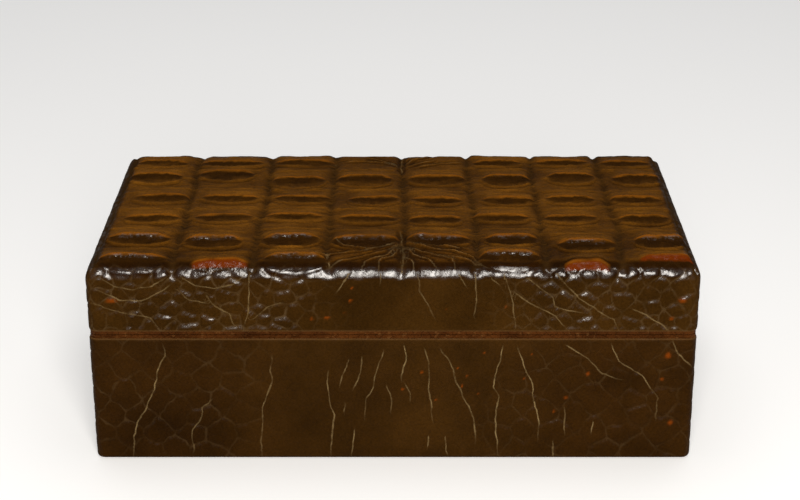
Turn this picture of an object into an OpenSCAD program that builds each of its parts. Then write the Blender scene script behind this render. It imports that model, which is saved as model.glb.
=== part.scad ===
// Leather-covered stationery box with a lid hinged at the back.
// X runs to the right, Y to the back and Z up, in millimetres.
// The origin is at the centre of the underside.

/* [Box] */
// Width over the leather
box_w = 254; // [200:1:320]
// Depth over the leather
box_d = 140; // [120:1:200]
// Height of the base, from the table to the parting line
base_h = 58; // [45:0.5:90]
// Height of the lid, from the parting line to the flat of its leather
lid_h = 31; // [26:0.5:50]

/* [Wooden case] */
// Thickness of the side boards of the base
wall_t = 8; // [7:0.5:10]
// Thickness of the floor board
floor_t = 4; // [3:0.5:6]
// Thickness of the lid's top board
top_t = 6; // [5.8:0.1:9]
// Depth of the rebates in the corners and under the walls
rebate = 3; // [2:0.5:4]

/* [Leather] */
// Thickness of the hide
hide_t = 1.4; // [1:0.1:2]
// Thickness of the paste between the hide and the boards
paste_t = 0.05; // [0.05:0.05:0.2]
// Outer radius of the upright corners
corner_r = 4; // [3:0.5:6]
// Outer radius of the lid's top edges
top_r = 7; // [4:0.5:7]
// Width of the hide that is turned under the base
turn_in = 12; // [8:1:20]
// Thickness of the turned-under hide, pared thin
turn_in_t = 0.8; // [0.5:0.1:1]

/* [Scutes] */
// Height of the tallest keels over the hide
keel_h = 2.4; // [1:0.1:3]
// Depth of a keel, from its front foot to its back foot
keel_d = 12; // [8:0.5:16]
// Height of the low shield that each keel stands on
shield_h = 0.6; // [0.3:0.1:1]
// Width of the groove between neighbouring shields
scute_groove = 2; // [1.5:0.1:4]

/* [Rims] */
// Gap between the closed rims
rim_gap = 0.3; // [0.2:0.1:0.6]
// Thickness of the leather edging on each rim
edging_t = 1.5; // [0.8:0.1:2]
// How far the edging lies inside the hide's face
edging_inset = 0.6; // [0.3:0.1:1.2]

/* [Lining] */
// Thickness of the lining boards in the base
lining_t = 2; // [1.5:0.1:3]
// Height of the lip, where the lining stands over the parting line
lip_h = 2.5; // [1.5:0.1:4]
// Running gap between the lip and the lid
lip_gap = 0.4; // [0.3:0.05:0.8]
// Thickness of the pad on the floor
floor_pad_t = 1.5; // [1:0.1:3]
// Thickness of the lid's pad at its edge
lid_pad_t = 1.6; // [1:0.1:3]
// Extra thickness of the lid's pad in its middle
lid_pad_crown = 2.4; // [1:0.1:4]
// Gap round the lid's pad
pad_gap = 0.3; // [0.2:0.1:0.6]

/* [Dividers] */
// Thickness of the dividers
divider_t = 2.5; // [2:0.1:4]
// Height of the dividers over the floor pad
divider_h = 42; // [25:1:48]
// Width of the narrow bay for pens and stamps
pen_bay_w = 44; // [30:1:60]
// Depth of the stamp bay at the front of the narrow bay
stamp_bay_d = 38; // [25:1:50]
// Depth of the grooves that hold the dividers
groove = 0.8; // [0.5:0.1:1.2]
// Play of a divider in its groove
groove_gap = 0.1; // [0.05:0.05:0.2]

/* [Hinges] */
// Length of each butt hinge
hinge_l = 32; // [24:1:44]
// Distance from the box's end to the middle of a hinge
hinge_place = 52; // [36:1:70]
// How far the pins lie inside the back face
axis_inset = 2.8; // [2.6:0.1:3.2]
// Radius of the knuckles
knuckle_r = 2; // [1.8:0.1:2.2]
// Radius of the pins
pin_r = 0.9; // [0.7:0.1:1]
// Thickness of the leaves
leaf_t = 1; // [0.8:0.1:1.1]
// Gap between the closed leaves
leaf_gap = 0.6; // [0.4:0.1:0.8]
// Angle at which the bevelled back edges stop the lid
open_angle = 98; // [90:1:110]
// Radius of a screw's shank
screw_r = 0.75; // [0.6:0.05:0.9]
// Radius of a screw's head
screw_head_r = 1.35; // [1.1:0.05:1.5]
// Length of a screw under its head
screw_l = 5.5; // [4:0.5:8]

/* [Underside] */
// Thickness of the baize
baize_t = 1.2; // [1:0.1:2]
// Gap between the baize and the turned-under hide
baize_gap = 0.4; // [0.3:0.1:1]

/* [Hidden] */

hide_colour = "#3b2712";
edging_colour = "#5e2412";
wood_colour = "#a9763f";
lining_colour = "#6b2a18";
silk_colour = "#8a5a2c";
brass_colour = "#b08d3e";
baize_colour = "#3c4a2a";

// Levels
lid_top = base_h + lid_h;
wood_top = lid_top - hide_t;
top_board_z = wood_top - top_t;
base_rim = base_h - rim_gap / 2;
lid_rim = base_h + rim_gap / 2;
floor_top = baize_t + floor_t;
lip_top = base_h + lip_h;
pad_top = floor_top + floor_pad_t;

// Outlines: the case under the hide, the space inside the walls, and the space inside the lining
case_w = box_w - 2 * hide_t;
case_d = box_d - 2 * hide_t;
well_w = case_w - 2 * wall_t;
well_d = case_d - 2 * wall_t;
bay_w = well_w - 2 * lining_t;
bay_d = well_d - 2 * lining_t;
lid_wall_t = wall_t - lip_gap;
lid_well_w = case_w - 2 * lid_wall_t;
lid_well_d = case_d - 2 * lid_wall_t;
divider_x = bay_w / 2 - pen_bay_w - divider_t / 2;
stamp_divider_y = -bay_d / 2 + stamp_bay_d + divider_t / 2;

// Hinges and the bevels behind them
axis_y = box_d / 2 - axis_inset;
bevel_margin = 2;
bevel = (open_angle + bevel_margin) / 2;
knuckles = 5;
knuckle_gap = 0.2;
knuckle_room = 0.3;
leaf_margin = 0.2;
leaf_w = hide_t + lid_wall_t - axis_inset - leaf_margin;
screws_per_leaf = 3;
screw_pitch = hinge_l / screws_per_leaf;
screw_y = (knuckle_r + knuckle_room + leaf_w) / 2;
screw_head_h = 0.8;
screw_slot = 0.35;
screw_play = 0.02;
base_pin_play = 0.02;
lid_pin_play = 0.05;

// The hide's pattern: shares of half the lid's width and depth, counted from its middle
column_share = [-0.976, -0.716, -0.448, -0.213, 0.034, 0.275, 0.502, 0.75, 0.98];
row_share = [-0.86, -0.54, -0.163, 0.157, 0.56, 0.84];
row_tall = [0.9, 1, 0.7, 0.7, 1, 0.75];
// How far each row's keels stray to the back, column by column
row_stray = [
    [1.5, -1.7, 1.5, 0, 0, 3, -2, 0],
    [1.9, -1, 1, 0.2, 0.7, 1.5, -4.1, -0.7],
    [0, 1.2, 1.2, -0.9, -1.7, 0.9, 0, -0.9],
    [1.5, 1.5, 0.7, -0.2, -1, -1, -1, -0.7],
    [1.9, 5.3, -3.2, -1.5, -1.5, -1.5, 1, -0.7],
    [0, -0.5, 0.5, 0, 0, 0.6, -0.4, 0]
];
// The two middle columns have no keel at the front and back edges
bare_columns = [3, 4];
edge_rows = [0, 5];

// A keel's share of its scute's width, and of that the share that its ridge takes
keel_share = 0.86;
ridge_share = 0.62;
ridge_t = 0.6;
// The ridge's height at its ends, as a share of its middle
ridge_fall = 0.85;
// How much of a scute's corners is cut off
scute_chamfer = 3.5;
// The fan of folds at the middle of the front and back edges
fold_count = 7;
fold_spread = 9;
fold_length = 24;
fold_w = 4;
// How deep a scute is rooted in the hide, and how near the lid's face it reaches
scute_root = 0.7 * hide_t;
scute_edge = top_r - sqrt(top_r * top_r - pow(top_r - hide_t / 2, 2));

arc_fn = 48;
far = 400;
bite = 0.5;

// A rectangle with round corners, centred
module round_rectangle(w, d, r) {
    square([w - 2 * r, d], center = true);
    square([w, d - 2 * r], center = true);
    for (x = [-1, 1], y = [-1, 1])
        translate([x * (w / 2 - r), y * (d / 2 - r)]) circle(r = r, $fn = arc_fn);
}

// The case's outline at the given depth under the leather's face
module outline(under) {
    round_rectangle(box_w - 2 * under, box_d - 2 * under, corner_r - under);
}

// A profile whose two top corners are round, from z0 up to z1
module arched_profile(w, z0, z1, r) {
    translate([-w / 2, z0]) square([w, z1 - z0 - r]);
    translate([-w / 2 + r, z0]) square([w - 2 * r, z1 - z0]);
    for (x = [-1, 1])
        translate([x * (w / 2 - r), z1 - r]) circle(r = r, $fn = arc_fn);
}

// The lid's solid shape at the given depth under the leather's face
module lid_block(under) {
    w = box_w - 2 * under;
    d = box_d - 2 * under;
    z1 = lid_top - under;
    r = top_r - under;
    intersection() {
        translate([0, 0, base_h]) linear_extrude(z1 - base_h) outline(under);
        rotate([90, 0, 0]) linear_extrude(box_d, center = true)
            arched_profile(w, base_h, z1, r);
        rotate([90, 0, 90]) linear_extrude(box_w, center = true)
            arched_profile(d, base_h, z1, r);
    }
}

// All that lies above the base's rim and bevel, moved down by the given thickness
module over_base(under) {
    apex = axis_y - under * tan(bevel / 2);
    rotate([90, 0, 90]) linear_extrude(box_w + 2, center = true) polygon([
        [-far, base_rim - under],
        [apex, base_rim - under],
        [apex + far * cos(bevel), base_rim - under - far * sin(bevel)],
        [2 * far, far],
        [-far, far]
    ]);
}

// All that lies below the lid's rim and bevel, moved up by the given thickness
module under_lid(under) {
    translate([0, 0, 2 * base_h]) mirror([0, 0, 1]) over_base(under);
}

// Places its child at the middle of both hinges' pins
module at_hinge(side) {
    translate([side * (box_w / 2 - hinge_place), axis_y, base_h]) children();
}

// The room that a hinge needs in the base, around its pin
module hinge_room() {
    rotate([0, 90, 0])
        cylinder(r = knuckle_r + knuckle_room, h = hinge_l + 2 * knuckle_gap, center = true, $fn = arc_fn);
    translate([-hinge_l / 2 - knuckle_gap, -leaf_w - leaf_margin / 2, -leaf_gap / 2 - leaf_t])
        cube([hinge_l + 2 * knuckle_gap, leaf_w + leaf_margin / 2, leaf_t + leaf_gap]);
    for (i = [0:screws_per_leaf - 1])
        translate([(i - (screws_per_leaf - 1) / 2) * screw_pitch, -screw_y, -leaf_gap / 2 - screw_l - screw_head_h])
            cylinder(r = screw_r + screw_play, h = screw_l + screw_head_h, $fn = 24);
}

module base_hinge_rooms() {
    for (side = [-1, 1]) at_hinge(side) hinge_room();
}

module lid_hinge_rooms() {
    for (side = [-1, 1]) at_hinge(side) mirror([0, 0, 1]) hinge_room();
}

// Takes the rim, the bevel and the hinges' seats out of a board of the base
module base_trim() {
    difference() {
        children();
        over_base(edging_t);
        base_hinge_rooms();
    }
}

module lid_trim() {
    difference() {
        children();
        under_lid(edging_t);
        lid_hinge_rooms();
    }
}

// A long wall with a rebate at each end for the short walls; inward is towards +Y
module long_wall(w, t, z0, z1) {
    difference() {
        translate([-w / 2, 0, z0]) cube([w, t, z1 - z0]);
        for (side = [-1, 1])
            translate([side * (w / 2 - t / 2), t, (z0 + z1) / 2])
                cube([t, 2 * rebate, z1 - z0 + 2], center = true);
    }
}

// A short wall that reaches into the long walls' rebates; inward is towards +X
module short_wall(d, t, z0, z1) {
    translate([0, -d / 2 + t - rebate, z0]) cube([t, d - 2 * (t - rebate), z1 - z0]);
}

// The floor board, which fills the walls' rebates; grown makes the rebates
module floor_block(grown = 0) {
    translate([0, 0, baize_t - grown]) linear_extrude(floor_t + grown)
        square([well_w + 2 * rebate, well_d + 2 * rebate], center = true);
}

// A base wall with round outer corners, its floor rebate and its trim
module base_wall() {
    base_trim() difference() {
        intersection() {
            children();
            linear_extrude(far) outline(hide_t + paste_t);
        }
        floor_block(1);
    }
}

module base_long_wall() {
    base_wall() translate([0, -case_d / 2, 0]) long_wall(case_w, wall_t, baize_t, base_rim);
}

module base_short_wall() {
    base_wall() translate([-case_w / 2, 0, 0]) short_wall(case_d, wall_t, baize_t, base_rim);
}

module base_front_board() {
    color(wood_colour) base_long_wall();
}

module base_back_board() {
    color(wood_colour) base_wall() translate([0, case_d / 2, 0]) mirror([0, 1, 0])
        long_wall(case_w, wall_t, baize_t, base_rim);
}

module base_left_board() {
    color(wood_colour) base_short_wall();
}

module base_right_board() {
    color(wood_colour) mirror([1, 0, 0]) base_short_wall();
}

module floor_board() {
    color(wood_colour) floor_block();
}

// The hide round the base: four walls and the part that is turned under
module base_leather() {
    color(hide_colour) base_trim() difference() {
        translate([0, 0, baize_t - turn_in_t])
            linear_extrude(base_rim - baize_t + turn_in_t) outline(0);
        translate([0, 0, baize_t]) linear_extrude(base_h) outline(hide_t);
        translate([0, 0, -bite]) linear_extrude(baize_t + 2 * bite)
            square([box_w - 2 * turn_in, box_d - 2 * turn_in], center = true);
    }
}

// The leather edging on a rim, from its inner edge out to the bevel's foot
module edging_ring(inner_w, inner_d) {
    deep = edging_t + axis_inset * tan(bevel);
    difference() {
        intersection() {
            translate([0, 0, base_h - deep]) linear_extrude(deep) outline(edging_inset);
            over_base(edging_t);
        }
        translate([0, 0, base_h - 2 * deep]) linear_extrude(3 * deep)
            square([inner_w, inner_d], center = true);
        over_base(0);
        base_hinge_rooms();
    }
}

module base_edging() {
    color(edging_colour) edging_ring(well_w, well_d);
}

module lid_edging() {
    color(edging_colour) translate([0, 0, 2 * base_h]) mirror([0, 0, 1])
        edging_ring(lid_well_w, lid_well_d);
}

module underside_baize() {
    w = box_w - 2 * (turn_in + baize_gap);
    d = box_d - 2 * (turn_in + baize_gap);
    color(baize_colour) translate([-w / 2, -d / 2, 0]) cube([w, d, baize_t]);
}

// Where the paper divider's ends lodge in the front and back linings
module divider_groove(depth) {
    translate([divider_x, 0, pad_top + divider_h / 2])
        cube([divider_t + groove_gap, depth, divider_h + 2 * groove_gap], center = true);
}

module lining_front() {
    color(lining_colour) difference() {
        translate([-well_w / 2, -well_d / 2, floor_top]) cube([well_w, lining_t, lip_top - floor_top]);
        divider_groove(bay_d + 2 * groove);
    }
}

module lining_back() {
    color(lining_colour) difference() {
        translate([-well_w / 2, well_d / 2 - lining_t, floor_top])
            cube([well_w, lining_t, lip_top - floor_top]);
        divider_groove(bay_d + 2 * groove);
    }
}

module lining_left() {
    color(lining_colour) translate([-well_w / 2, -bay_d / 2, floor_top])
        cube([lining_t, bay_d, lip_top - floor_top]);
}

module lining_right() {
    color(lining_colour) difference() {
        translate([bay_w / 2, -bay_d / 2, floor_top]) cube([lining_t, bay_d, lip_top - floor_top]);
        translate([bay_w / 2, stamp_divider_y, pad_top + divider_h / 2])
            cube([2 * groove, divider_t + groove_gap, divider_h + 2 * groove_gap], center = true);
    }
}

module floor_pad() {
    color(silk_colour) translate([-bay_w / 2, -bay_d / 2, floor_top]) cube([bay_w, bay_d, floor_pad_t]);
}

// A divider with a round top edge, along X and centred, standing on z = 0
module divider(length) {
    rotate([90, 0, 90]) linear_extrude(length, center = true) {
        translate([-divider_t / 2, 0]) square([divider_t, divider_h - divider_t / 2]);
        translate([0, divider_h - divider_t / 2]) circle(d = divider_t, $fn = 32);
    }
}

module paper_divider() {
    length = bay_d + 2 * groove - groove_gap;
    color(lining_colour) difference() {
        translate([divider_x, 0, pad_top]) rotate([0, 0, 90]) divider(length);
        translate([divider_x + divider_t / 2, stamp_divider_y, pad_top + divider_h / 2])
            cube([2 * groove, divider_t + groove_gap, divider_h + 2 * groove_gap], center = true);
    }
}

module stamp_divider() {
    length = pen_bay_w + 2 * groove - groove_gap;
    color(lining_colour) translate([bay_w / 2 - pen_bay_w / 2, stamp_divider_y, pad_top]) divider(length);
}

// Knuckle number k of a hinge, along the pin
module knuckle(k) {
    pitch = hinge_l / knuckles;
    length = pitch - knuckle_gap;
    translate([-hinge_l / 2 + k * pitch + knuckle_gap / 2, 0, 0]) {
        rotate([0, 90, 0]) cylinder(r = knuckle_r, h = length, $fn = arc_fn);
        translate([0, -knuckle_r - knuckle_room - bite, -leaf_gap / 2 - leaf_t])
            cube([length, knuckle_r + knuckle_room + bite, leaf_t]);
    }
}

// A screw's shape, head up, with its top at z = 0; play widens it
module screw_shape(play = 0) {
    translate([0, 0, -screw_l - screw_head_h])
        cylinder(r = screw_r + play, h = screw_l + screw_head_h, $fn = 24);
    translate([0, 0, -screw_head_h])
        cylinder(r1 = screw_r + play, r2 = screw_head_r + play, h = screw_head_h, $fn = 24);
}

module leaf_screw() {
    difference() {
        screw_shape();
        cube([2 * screw_head_r + 1, screw_slot, 2 * screw_slot], center = true);
    }
}

module at_leaf_screws() {
    for (i = [0:screws_per_leaf - 1])
        translate([(i - (screws_per_leaf - 1) / 2) * screw_pitch, -screw_y, -leaf_gap / 2]) children();
}

// One leaf with the knuckles named in own
module hinge_leaf(own, pin_play) {
    difference() {
        union() {
            translate([-hinge_l / 2, -leaf_w, -leaf_gap / 2 - leaf_t])
                cube([hinge_l, leaf_w - knuckle_r - knuckle_room, leaf_t]);
            for (k = own) knuckle(k);
        }
        rotate([0, 90, 0]) cylinder(r = pin_r + pin_play, h = hinge_l + 2, center = true, $fn = 32);
        at_leaf_screws() screw_shape(screw_play);
    }
}

module base_leaf(side) {
    color(brass_colour) at_hinge(side) hinge_leaf([0:2:knuckles - 1], base_pin_play);
}

module lid_leaf(side) {
    color(brass_colour) at_hinge(side) mirror([0, 0, 1]) hinge_leaf([1:2:knuckles - 2], lid_pin_play);
}

module hinge_pin(side) {
    color(brass_colour) at_hinge(side) rotate([0, 90, 0])
        cylinder(r = pin_r, h = hinge_l - knuckle_gap, center = true, $fn = 32);
}

module base_leaf_screws() {
    color(brass_colour) for (side = [-1, 1]) at_hinge(side) at_leaf_screws() leaf_screw();
}

module lid_leaf_screws() {
    color(brass_colour) for (side = [-1, 1]) at_hinge(side) mirror([0, 0, 1]) at_leaf_screws() leaf_screw();
}

// A lid wall, from the rim up to the top board
module lid_wall() {
    lid_trim() intersection() {
        children();
        linear_extrude(far) outline(hide_t + paste_t);
    }
}

module lid_long_wall() {
    translate([0, -case_d / 2, 0]) long_wall(case_w, lid_wall_t, lid_rim, top_board_z);
}

module lid_front_board() {
    color(wood_colour) lid_wall() lid_long_wall();
}

module lid_back_board() {
    color(wood_colour) lid_wall() mirror([0, 1, 0]) lid_long_wall();
}

module lid_left_board() {
    color(wood_colour) lid_wall() translate([-case_w / 2, 0, 0])
        short_wall(case_d, lid_wall_t, lid_rim, top_board_z);
}

module lid_right_board() {
    color(wood_colour) mirror([1, 0, 0]) lid_wall() translate([-case_w / 2, 0, 0])
        short_wall(case_d, lid_wall_t, lid_rim, top_board_z);
}

module lid_top_board() {
    color(wood_colour) intersection() {
        lid_block(hide_t + paste_t);
        translate([-box_w, -box_d, top_board_z]) cube([2 * box_w, 2 * box_d, top_t + 1]);
    }
}

function is_bare(row, column) =
    len(search(row, edge_rows)) > 0 && len(search(column, bare_columns)) > 0;

// Where a scute's keel lies, front to back
function keel_y(row, column) = row_share[row] * box_d / 2 + row_stray[row][column];

// Where a scute's shield ends at its front: half a groove from its neighbour, or near the lid's face
function shield_front(row, column) = row == 0
    ? scute_edge - box_d / 2
    : (keel_y(row - 1, column) + keel_y(row, column) + scute_groove) / 2;

function shield_back(row, column) = row == len(row_share) - 1
    ? box_d / 2 - scute_edge
    : (keel_y(row, column) + keel_y(row + 1, column) - scute_groove) / 2;

// An oblong with cut corners, from -front to back along Y
module cut_oblong(w, front, back, cut) {
    polygon([
        [-w / 2, cut - front], [cut - w / 2, -front], [w / 2 - cut, -front], [w / 2, cut - front],
        [w / 2, back - cut], [w / 2 - cut, back], [cut - w / 2, back], [-w / 2, back - cut]
    ]);
}

// A scute: a low shield with sloping sides and on it a keel along X that falls to both ends
module scute(w, front, back, tall) {
    slope = shield_h;
    foot = keel_d / 2;
    keel_w = keel_share * w;
    cut = min(scute_chamfer, front / 2, back / 2);
    hull() {
        translate([0, 0, -scute_root]) linear_extrude(slope) cut_oblong(w, front, back, cut);
        translate([0, 0, -scute_root]) linear_extrude(scute_root + shield_h)
            cut_oblong(w - 2 * slope, front - slope, back - slope, cut);
    }
    hull() {
        linear_extrude(shield_h / 2)
            cut_oblong(keel_w, min(foot, front - 2 * slope), min(foot, back - 2 * slope), cut / 2);
        for (place = [-1, 0, 1])
            translate([place * ridge_share * keel_w / 2, 0, tall * (1 - abs(place) * (1 - ridge_fall))])
                cube([ridge_t, ridge_t, ridge_t], center = true);
    }
}

// The folds that fan out to the lid's edge where the middle columns have no scute
module fan(side) {
    edge_y = box_d / 2 - scute_edge;
    hub_x = column_share[4] * box_w / 2;
    for (i = [0:fold_count - 1]) {
        turn = i - (fold_count - 1) / 2;
        translate([hub_x, 0, lid_top]) hull() {
            translate([turn * fold_w / 4, side * (edge_y - fold_length), -scute_root])
                cylinder(d = fold_w / 4, h = scute_root, $fn = 8);
            translate([turn * fold_spread, side * (edge_y - fold_w / 2), -scute_root])
                cylinder(d1 = fold_w, d2 = fold_w / 3, h = scute_root + shield_h, $fn = 8);
        }
    }
}

// All scutes, laid in rows and columns over the lid's flat
module scutes() {
    for (row = [0:len(row_share) - 1], column = [0:len(column_share) - 2])
        if (!is_bare(row, column)) {
            left = column_share[column] * box_w / 2;
            right = column_share[column + 1] * box_w / 2;
            y = keel_y(row, column);
            translate([(left + right) / 2, y, lid_top]) scute(
                right - left - scute_groove,
                y - shield_front(row, column),
                shield_back(row, column) - y,
                row_tall[row] * keel_h
            );
        }
}

// The hide over the lid, with its scutes
module lid_leather() {
    color(hide_colour) lid_trim() difference() {
        union() {
            lid_block(0);
            scutes();
            for (side = [-1, 1]) fan(side);
        }
        lid_block(hide_t);
    }
}

module lid_lining_long() {
    z0 = lip_top + lip_gap;
    translate([-lid_well_w / 2, -lid_well_d / 2, z0])
        cube([lid_well_w, lining_t + lip_gap, top_board_z - z0]);
}

module lid_lining_short() {
    z0 = lip_top + lip_gap;
    translate([-lid_well_w / 2, -bay_d / 2, z0]) cube([lining_t + lip_gap, bay_d, top_board_z - z0]);
}

module lid_lining_front() {
    color(lining_colour) lid_lining_long();
}

module lid_lining_back() {
    color(lining_colour) mirror([0, 1, 0]) lid_lining_long();
}

module lid_lining_left() {
    color(lining_colour) lid_lining_short();
}

module lid_lining_right() {
    color(lining_colour) mirror([1, 0, 0]) lid_lining_short();
}

// A pad on z = 0 whose sides draw in and whose top swells from its edge to its middle
module crowned_pad(w, d, edge, crown, nx = 14, ny = 8) {
    function swell(u) = 1 - pow(abs(u), 3);
    function place(i, j, z) = [(i / nx - 0.5) * w, (j / ny - 0.5) * d, z];
    function top_z(i, j) = edge + crown * swell(2 * i / nx - 1) * swell(2 * j / ny - 1);
    function at(i, j) = j * (nx + 1) + i;
    count = (nx + 1) * (ny + 1);
    under = [for (j = [0:ny], i = [0:nx]) place(i, j, 0)];
    top = [for (j = [0:ny], i = [0:nx]) place(i, j, top_z(i, j))];
    rim = concat(
        [for (i = [0:nx - 1]) at(i, 0)], [for (j = [0:ny - 1]) at(nx, j)],
        [for (i = [nx:-1:1]) at(i, ny)], [for (j = [ny:-1:1]) at(0, j)]
    );
    cells = [for (j = [0:ny - 1], i = [0:nx - 1], half = [0, 1]) half == 0
        ? [at(i, j), at(i + 1, j + 1), at(i + 1, j)]
        : [at(i, j), at(i, j + 1), at(i + 1, j + 1)]];
    top_faces = [for (f = cells) [for (k = f) count + k]];
    under_faces = [for (f = cells) [f[2], f[1], f[0]]];
    side_faces = [for (k = [0:len(rim) - 1], half = [0, 1]) let (a = rim[k], b = rim[(k + 1) % len(rim)])
        half == 0 ? [a, count + b, b] : [a, count + a, count + b]];
    polyhedron(concat(under, top), concat(under_faces, top_faces, side_faces));
}

module lid_pad() {
    color(silk_colour) translate([0, 0, top_board_z]) mirror([0, 0, 1])
        crowned_pad(bay_w - 2 * pad_gap, bay_d - 2 * pad_gap, lid_pad_t, lid_pad_crown);
}

base_front_board();
base_back_board();
base_left_board();
base_right_board();
floor_board();
base_leather();
base_edging();
underside_baize();
lining_front();
lining_back();
lining_left();
lining_right();
floor_pad();
paper_divider();
stamp_divider();
base_leaf(-1);  // left_hinge_base_leaf
base_leaf(1);  // right_hinge_base_leaf
hinge_pin(-1);  // left_hinge_pin
hinge_pin(1);  // right_hinge_pin
base_leaf_screws();
lid_front_board();
lid_back_board();
lid_left_board();
lid_right_board();
lid_top_board();
lid_leather();
lid_edging();
lid_lining_front();
lid_lining_back();
lid_lining_left();
lid_lining_right();
lid_pad();
lid_leaf(-1);  // left_hinge_lid_leaf
lid_leaf(1);  // right_hinge_lid_leaf
lid_leaf_screws();
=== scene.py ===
"""Looks for the leather-covered stationery box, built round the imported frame.

Lengths in the tables are millimetres, counted as in the part's source: X to the right, Y to the back, Z up.
"""

import math
from collections import namedtuple

import bpy
import numpy as np
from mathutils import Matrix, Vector


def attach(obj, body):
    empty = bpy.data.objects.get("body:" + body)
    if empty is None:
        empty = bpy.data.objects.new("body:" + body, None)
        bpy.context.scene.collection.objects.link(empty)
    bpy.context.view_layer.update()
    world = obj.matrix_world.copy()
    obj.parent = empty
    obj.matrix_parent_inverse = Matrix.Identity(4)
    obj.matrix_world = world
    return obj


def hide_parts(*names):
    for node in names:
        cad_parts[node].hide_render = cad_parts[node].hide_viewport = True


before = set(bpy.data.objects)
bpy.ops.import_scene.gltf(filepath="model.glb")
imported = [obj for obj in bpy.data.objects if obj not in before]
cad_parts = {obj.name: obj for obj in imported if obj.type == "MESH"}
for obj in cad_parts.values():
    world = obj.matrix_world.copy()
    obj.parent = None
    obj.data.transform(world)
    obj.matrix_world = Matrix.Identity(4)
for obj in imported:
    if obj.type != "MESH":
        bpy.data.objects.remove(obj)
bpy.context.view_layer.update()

MM = 0.001

# The lid's and the base's hides, as the frame holds them
HALF_W = 127.0
HALF_D = 70.0
LID_TOP = 89.0
LID_RIM = 59.65
BASE_RIM = 56.35
BASE_FOOT = 0.4
TOP_R = 7.0
CORNER_R = 4.0
HIDE_T = 1.4
TURN_IN = 12.0
TURN_TOP = 1.2
GIRTH = 4 * (HALF_W + HALF_D)
# How far the hide runs round the top's edge, from the flat to the wall
EDGE_RUN = TOP_R * math.pi / 2
# The rims drop away from the pins at the back, along bevels of this slope
BEVEL_Y = 66.5
BEVEL_SLOPE = math.tan(math.radians(50))
# A crack or a joint draws the mesh's points onto its own line from this near
LID_CATCH = 0.42
BASE_CATCH = 0.33


# Random forms that come out the same each time

def chance(i, j, seed):
    """A steady number from 0 to 1 for each pair of whole numbers."""
    n = (i.astype(np.int64) * 374761393 + j.astype(np.int64) * 668265263 + seed * 974711) & 0x7FFFFFFF
    n = ((n ^ (n >> 13)) * 1274126177) & 0x7FFFFFFF
    n = ((n ^ (n >> 15)) * 739981) & 0x7FFFFFFF
    return (n & 0xFFFFF) / float(0xFFFFF)


def ease(low, high, value):
    """Rises smoothly from 0 at low to 1 at high."""
    t = np.clip((value - low) / (high - low), 0, 1)
    return t * t * (3 - 2 * t)


def hill(value, place, width):
    """A smooth swelling of 1 where the value is at the place."""
    return np.exp(-((value - place) / width) ** 2)


def waves(x, y, size, seed, octaves=2):
    """Smooth uneven ground from about -1 to 1, with hills about size across."""
    total = np.zeros_like(x)
    share = 1.0
    reach = 0.0
    for octave in range(octaves):
        i, j = np.floor(x / size), np.floor(y / size)
        u, v = ease(0, 1, x / size - i), ease(0, 1, y / size - j)
        low = chance(i, j, seed + octave) * (1 - u) + chance(i + 1, j, seed + octave) * u
        high = chance(i, j + 1, seed + octave) * (1 - u) + chance(i + 1, j + 1, seed + octave) * u
        total += share * (2 * (low * (1 - v) + high * v) - 1)
        reach += share
        share *= 0.5
        size = size / 2.03
    return total / reach


def scales(s, v, wide, tall, seed, loose=0.3):
    """Irregular scales in broken rows round the box: how far each point lies from its scale's edge,
    a number of its own for each scale, the step from the point onto that edge, and the side it lies on."""
    count = round(GIRTH / wide)
    wide = GIRTH / count
    col0, row0 = np.floor(s / wide), np.floor(v / tall)
    places = []
    for dr in (-1, 0, 1):
        row = row0 + dr
        for dc in (-2, -1, 0, 1, 2):
            col = col0 + dc
            key = np.mod(col, count)
            cx = (col + 0.5 + 0.5 * np.mod(row, 2) + loose * (2 * chance(key, row, seed) - 1)) * wide
            cy = (row + 0.5 + loose * (2 * chance(key, row, seed + 7) - 1)) * tall
            places.append((cx, cy, chance(key, row, seed + 13)))
    far = np.array([(s - cx) ** 2 + (v - cy) ** 2 for cx, cy, _ in places])
    own = far.argmin(0)
    pick = np.arange(len(s))
    own_x, own_y, number = np.array(places)[own, :, pick].T
    edge = np.full(len(s), 1e9)
    step = np.zeros((len(s), 2))
    side = np.ones(len(s))
    for index, (cx, cy, _) in enumerate(places):
        apart = np.maximum(np.hypot(cx - own_x, cy - own_y), 1e-6)
        away = np.where(own == index, 1e9, (far[index] - far[own, pick]) / (2 * apart))
        nearer = away < edge
        edge[nearer] = away[nearer]
        towards = np.stack([cx - own_x, cy - own_y], 1) / apart[:, None]
        step[nearer] = (towards * away[:, None])[nearer]
        side[nearer] = np.sign(own_x - cx + 0.37 * (own_y - cy) + 1e-9)[nearer]
    return edge, number, step, side


def line_distance(x, y, line, reach):
    """How far each point lies from a drawn line, up to reach, how far along it, from 0 to 1,
    the step from the point onto the line, and which side of the line it lies on."""
    best = np.full(len(x), reach)
    along = np.zeros(len(x))
    onto = np.zeros((len(x), 2))
    side = np.ones(len(x))
    points = np.array(line, float)
    steps = np.hypot(*np.diff(points, axis=0).T)
    total, run = steps.sum(), 0.0
    low, high = points.min(0) - reach, points.max(0) + reach
    near = np.flatnonzero((x > low[0]) & (x < high[0]) & (y > low[1]) & (y < high[1]))
    px, py = x[near], y[near]
    for (ax, ay), (bx, by), step in zip(points[:-1], points[1:], steps):
        t = np.clip(((px - ax) * (bx - ax) + (py - ay) * (by - ay)) / step ** 2, 0, 1)
        step_x, step_y = ax + t * (bx - ax) - px, ay + t * (by - ay) - py
        d = np.hypot(step_x, step_y)
        closer = d < best[near]
        best[near[closer]] = d[closer]
        along[near[closer]] = (run + t[closer] * step) / total
        onto[near[closer]] = np.stack([step_x[closer], step_y[closer]], 1)
        side[near[closer]] = np.sign((bx - ax) * step_y[closer] - (by - ay) * step_x[closer] + 1e-9)
        run += step
    return best, along, onto, side


# Mesh work

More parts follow.
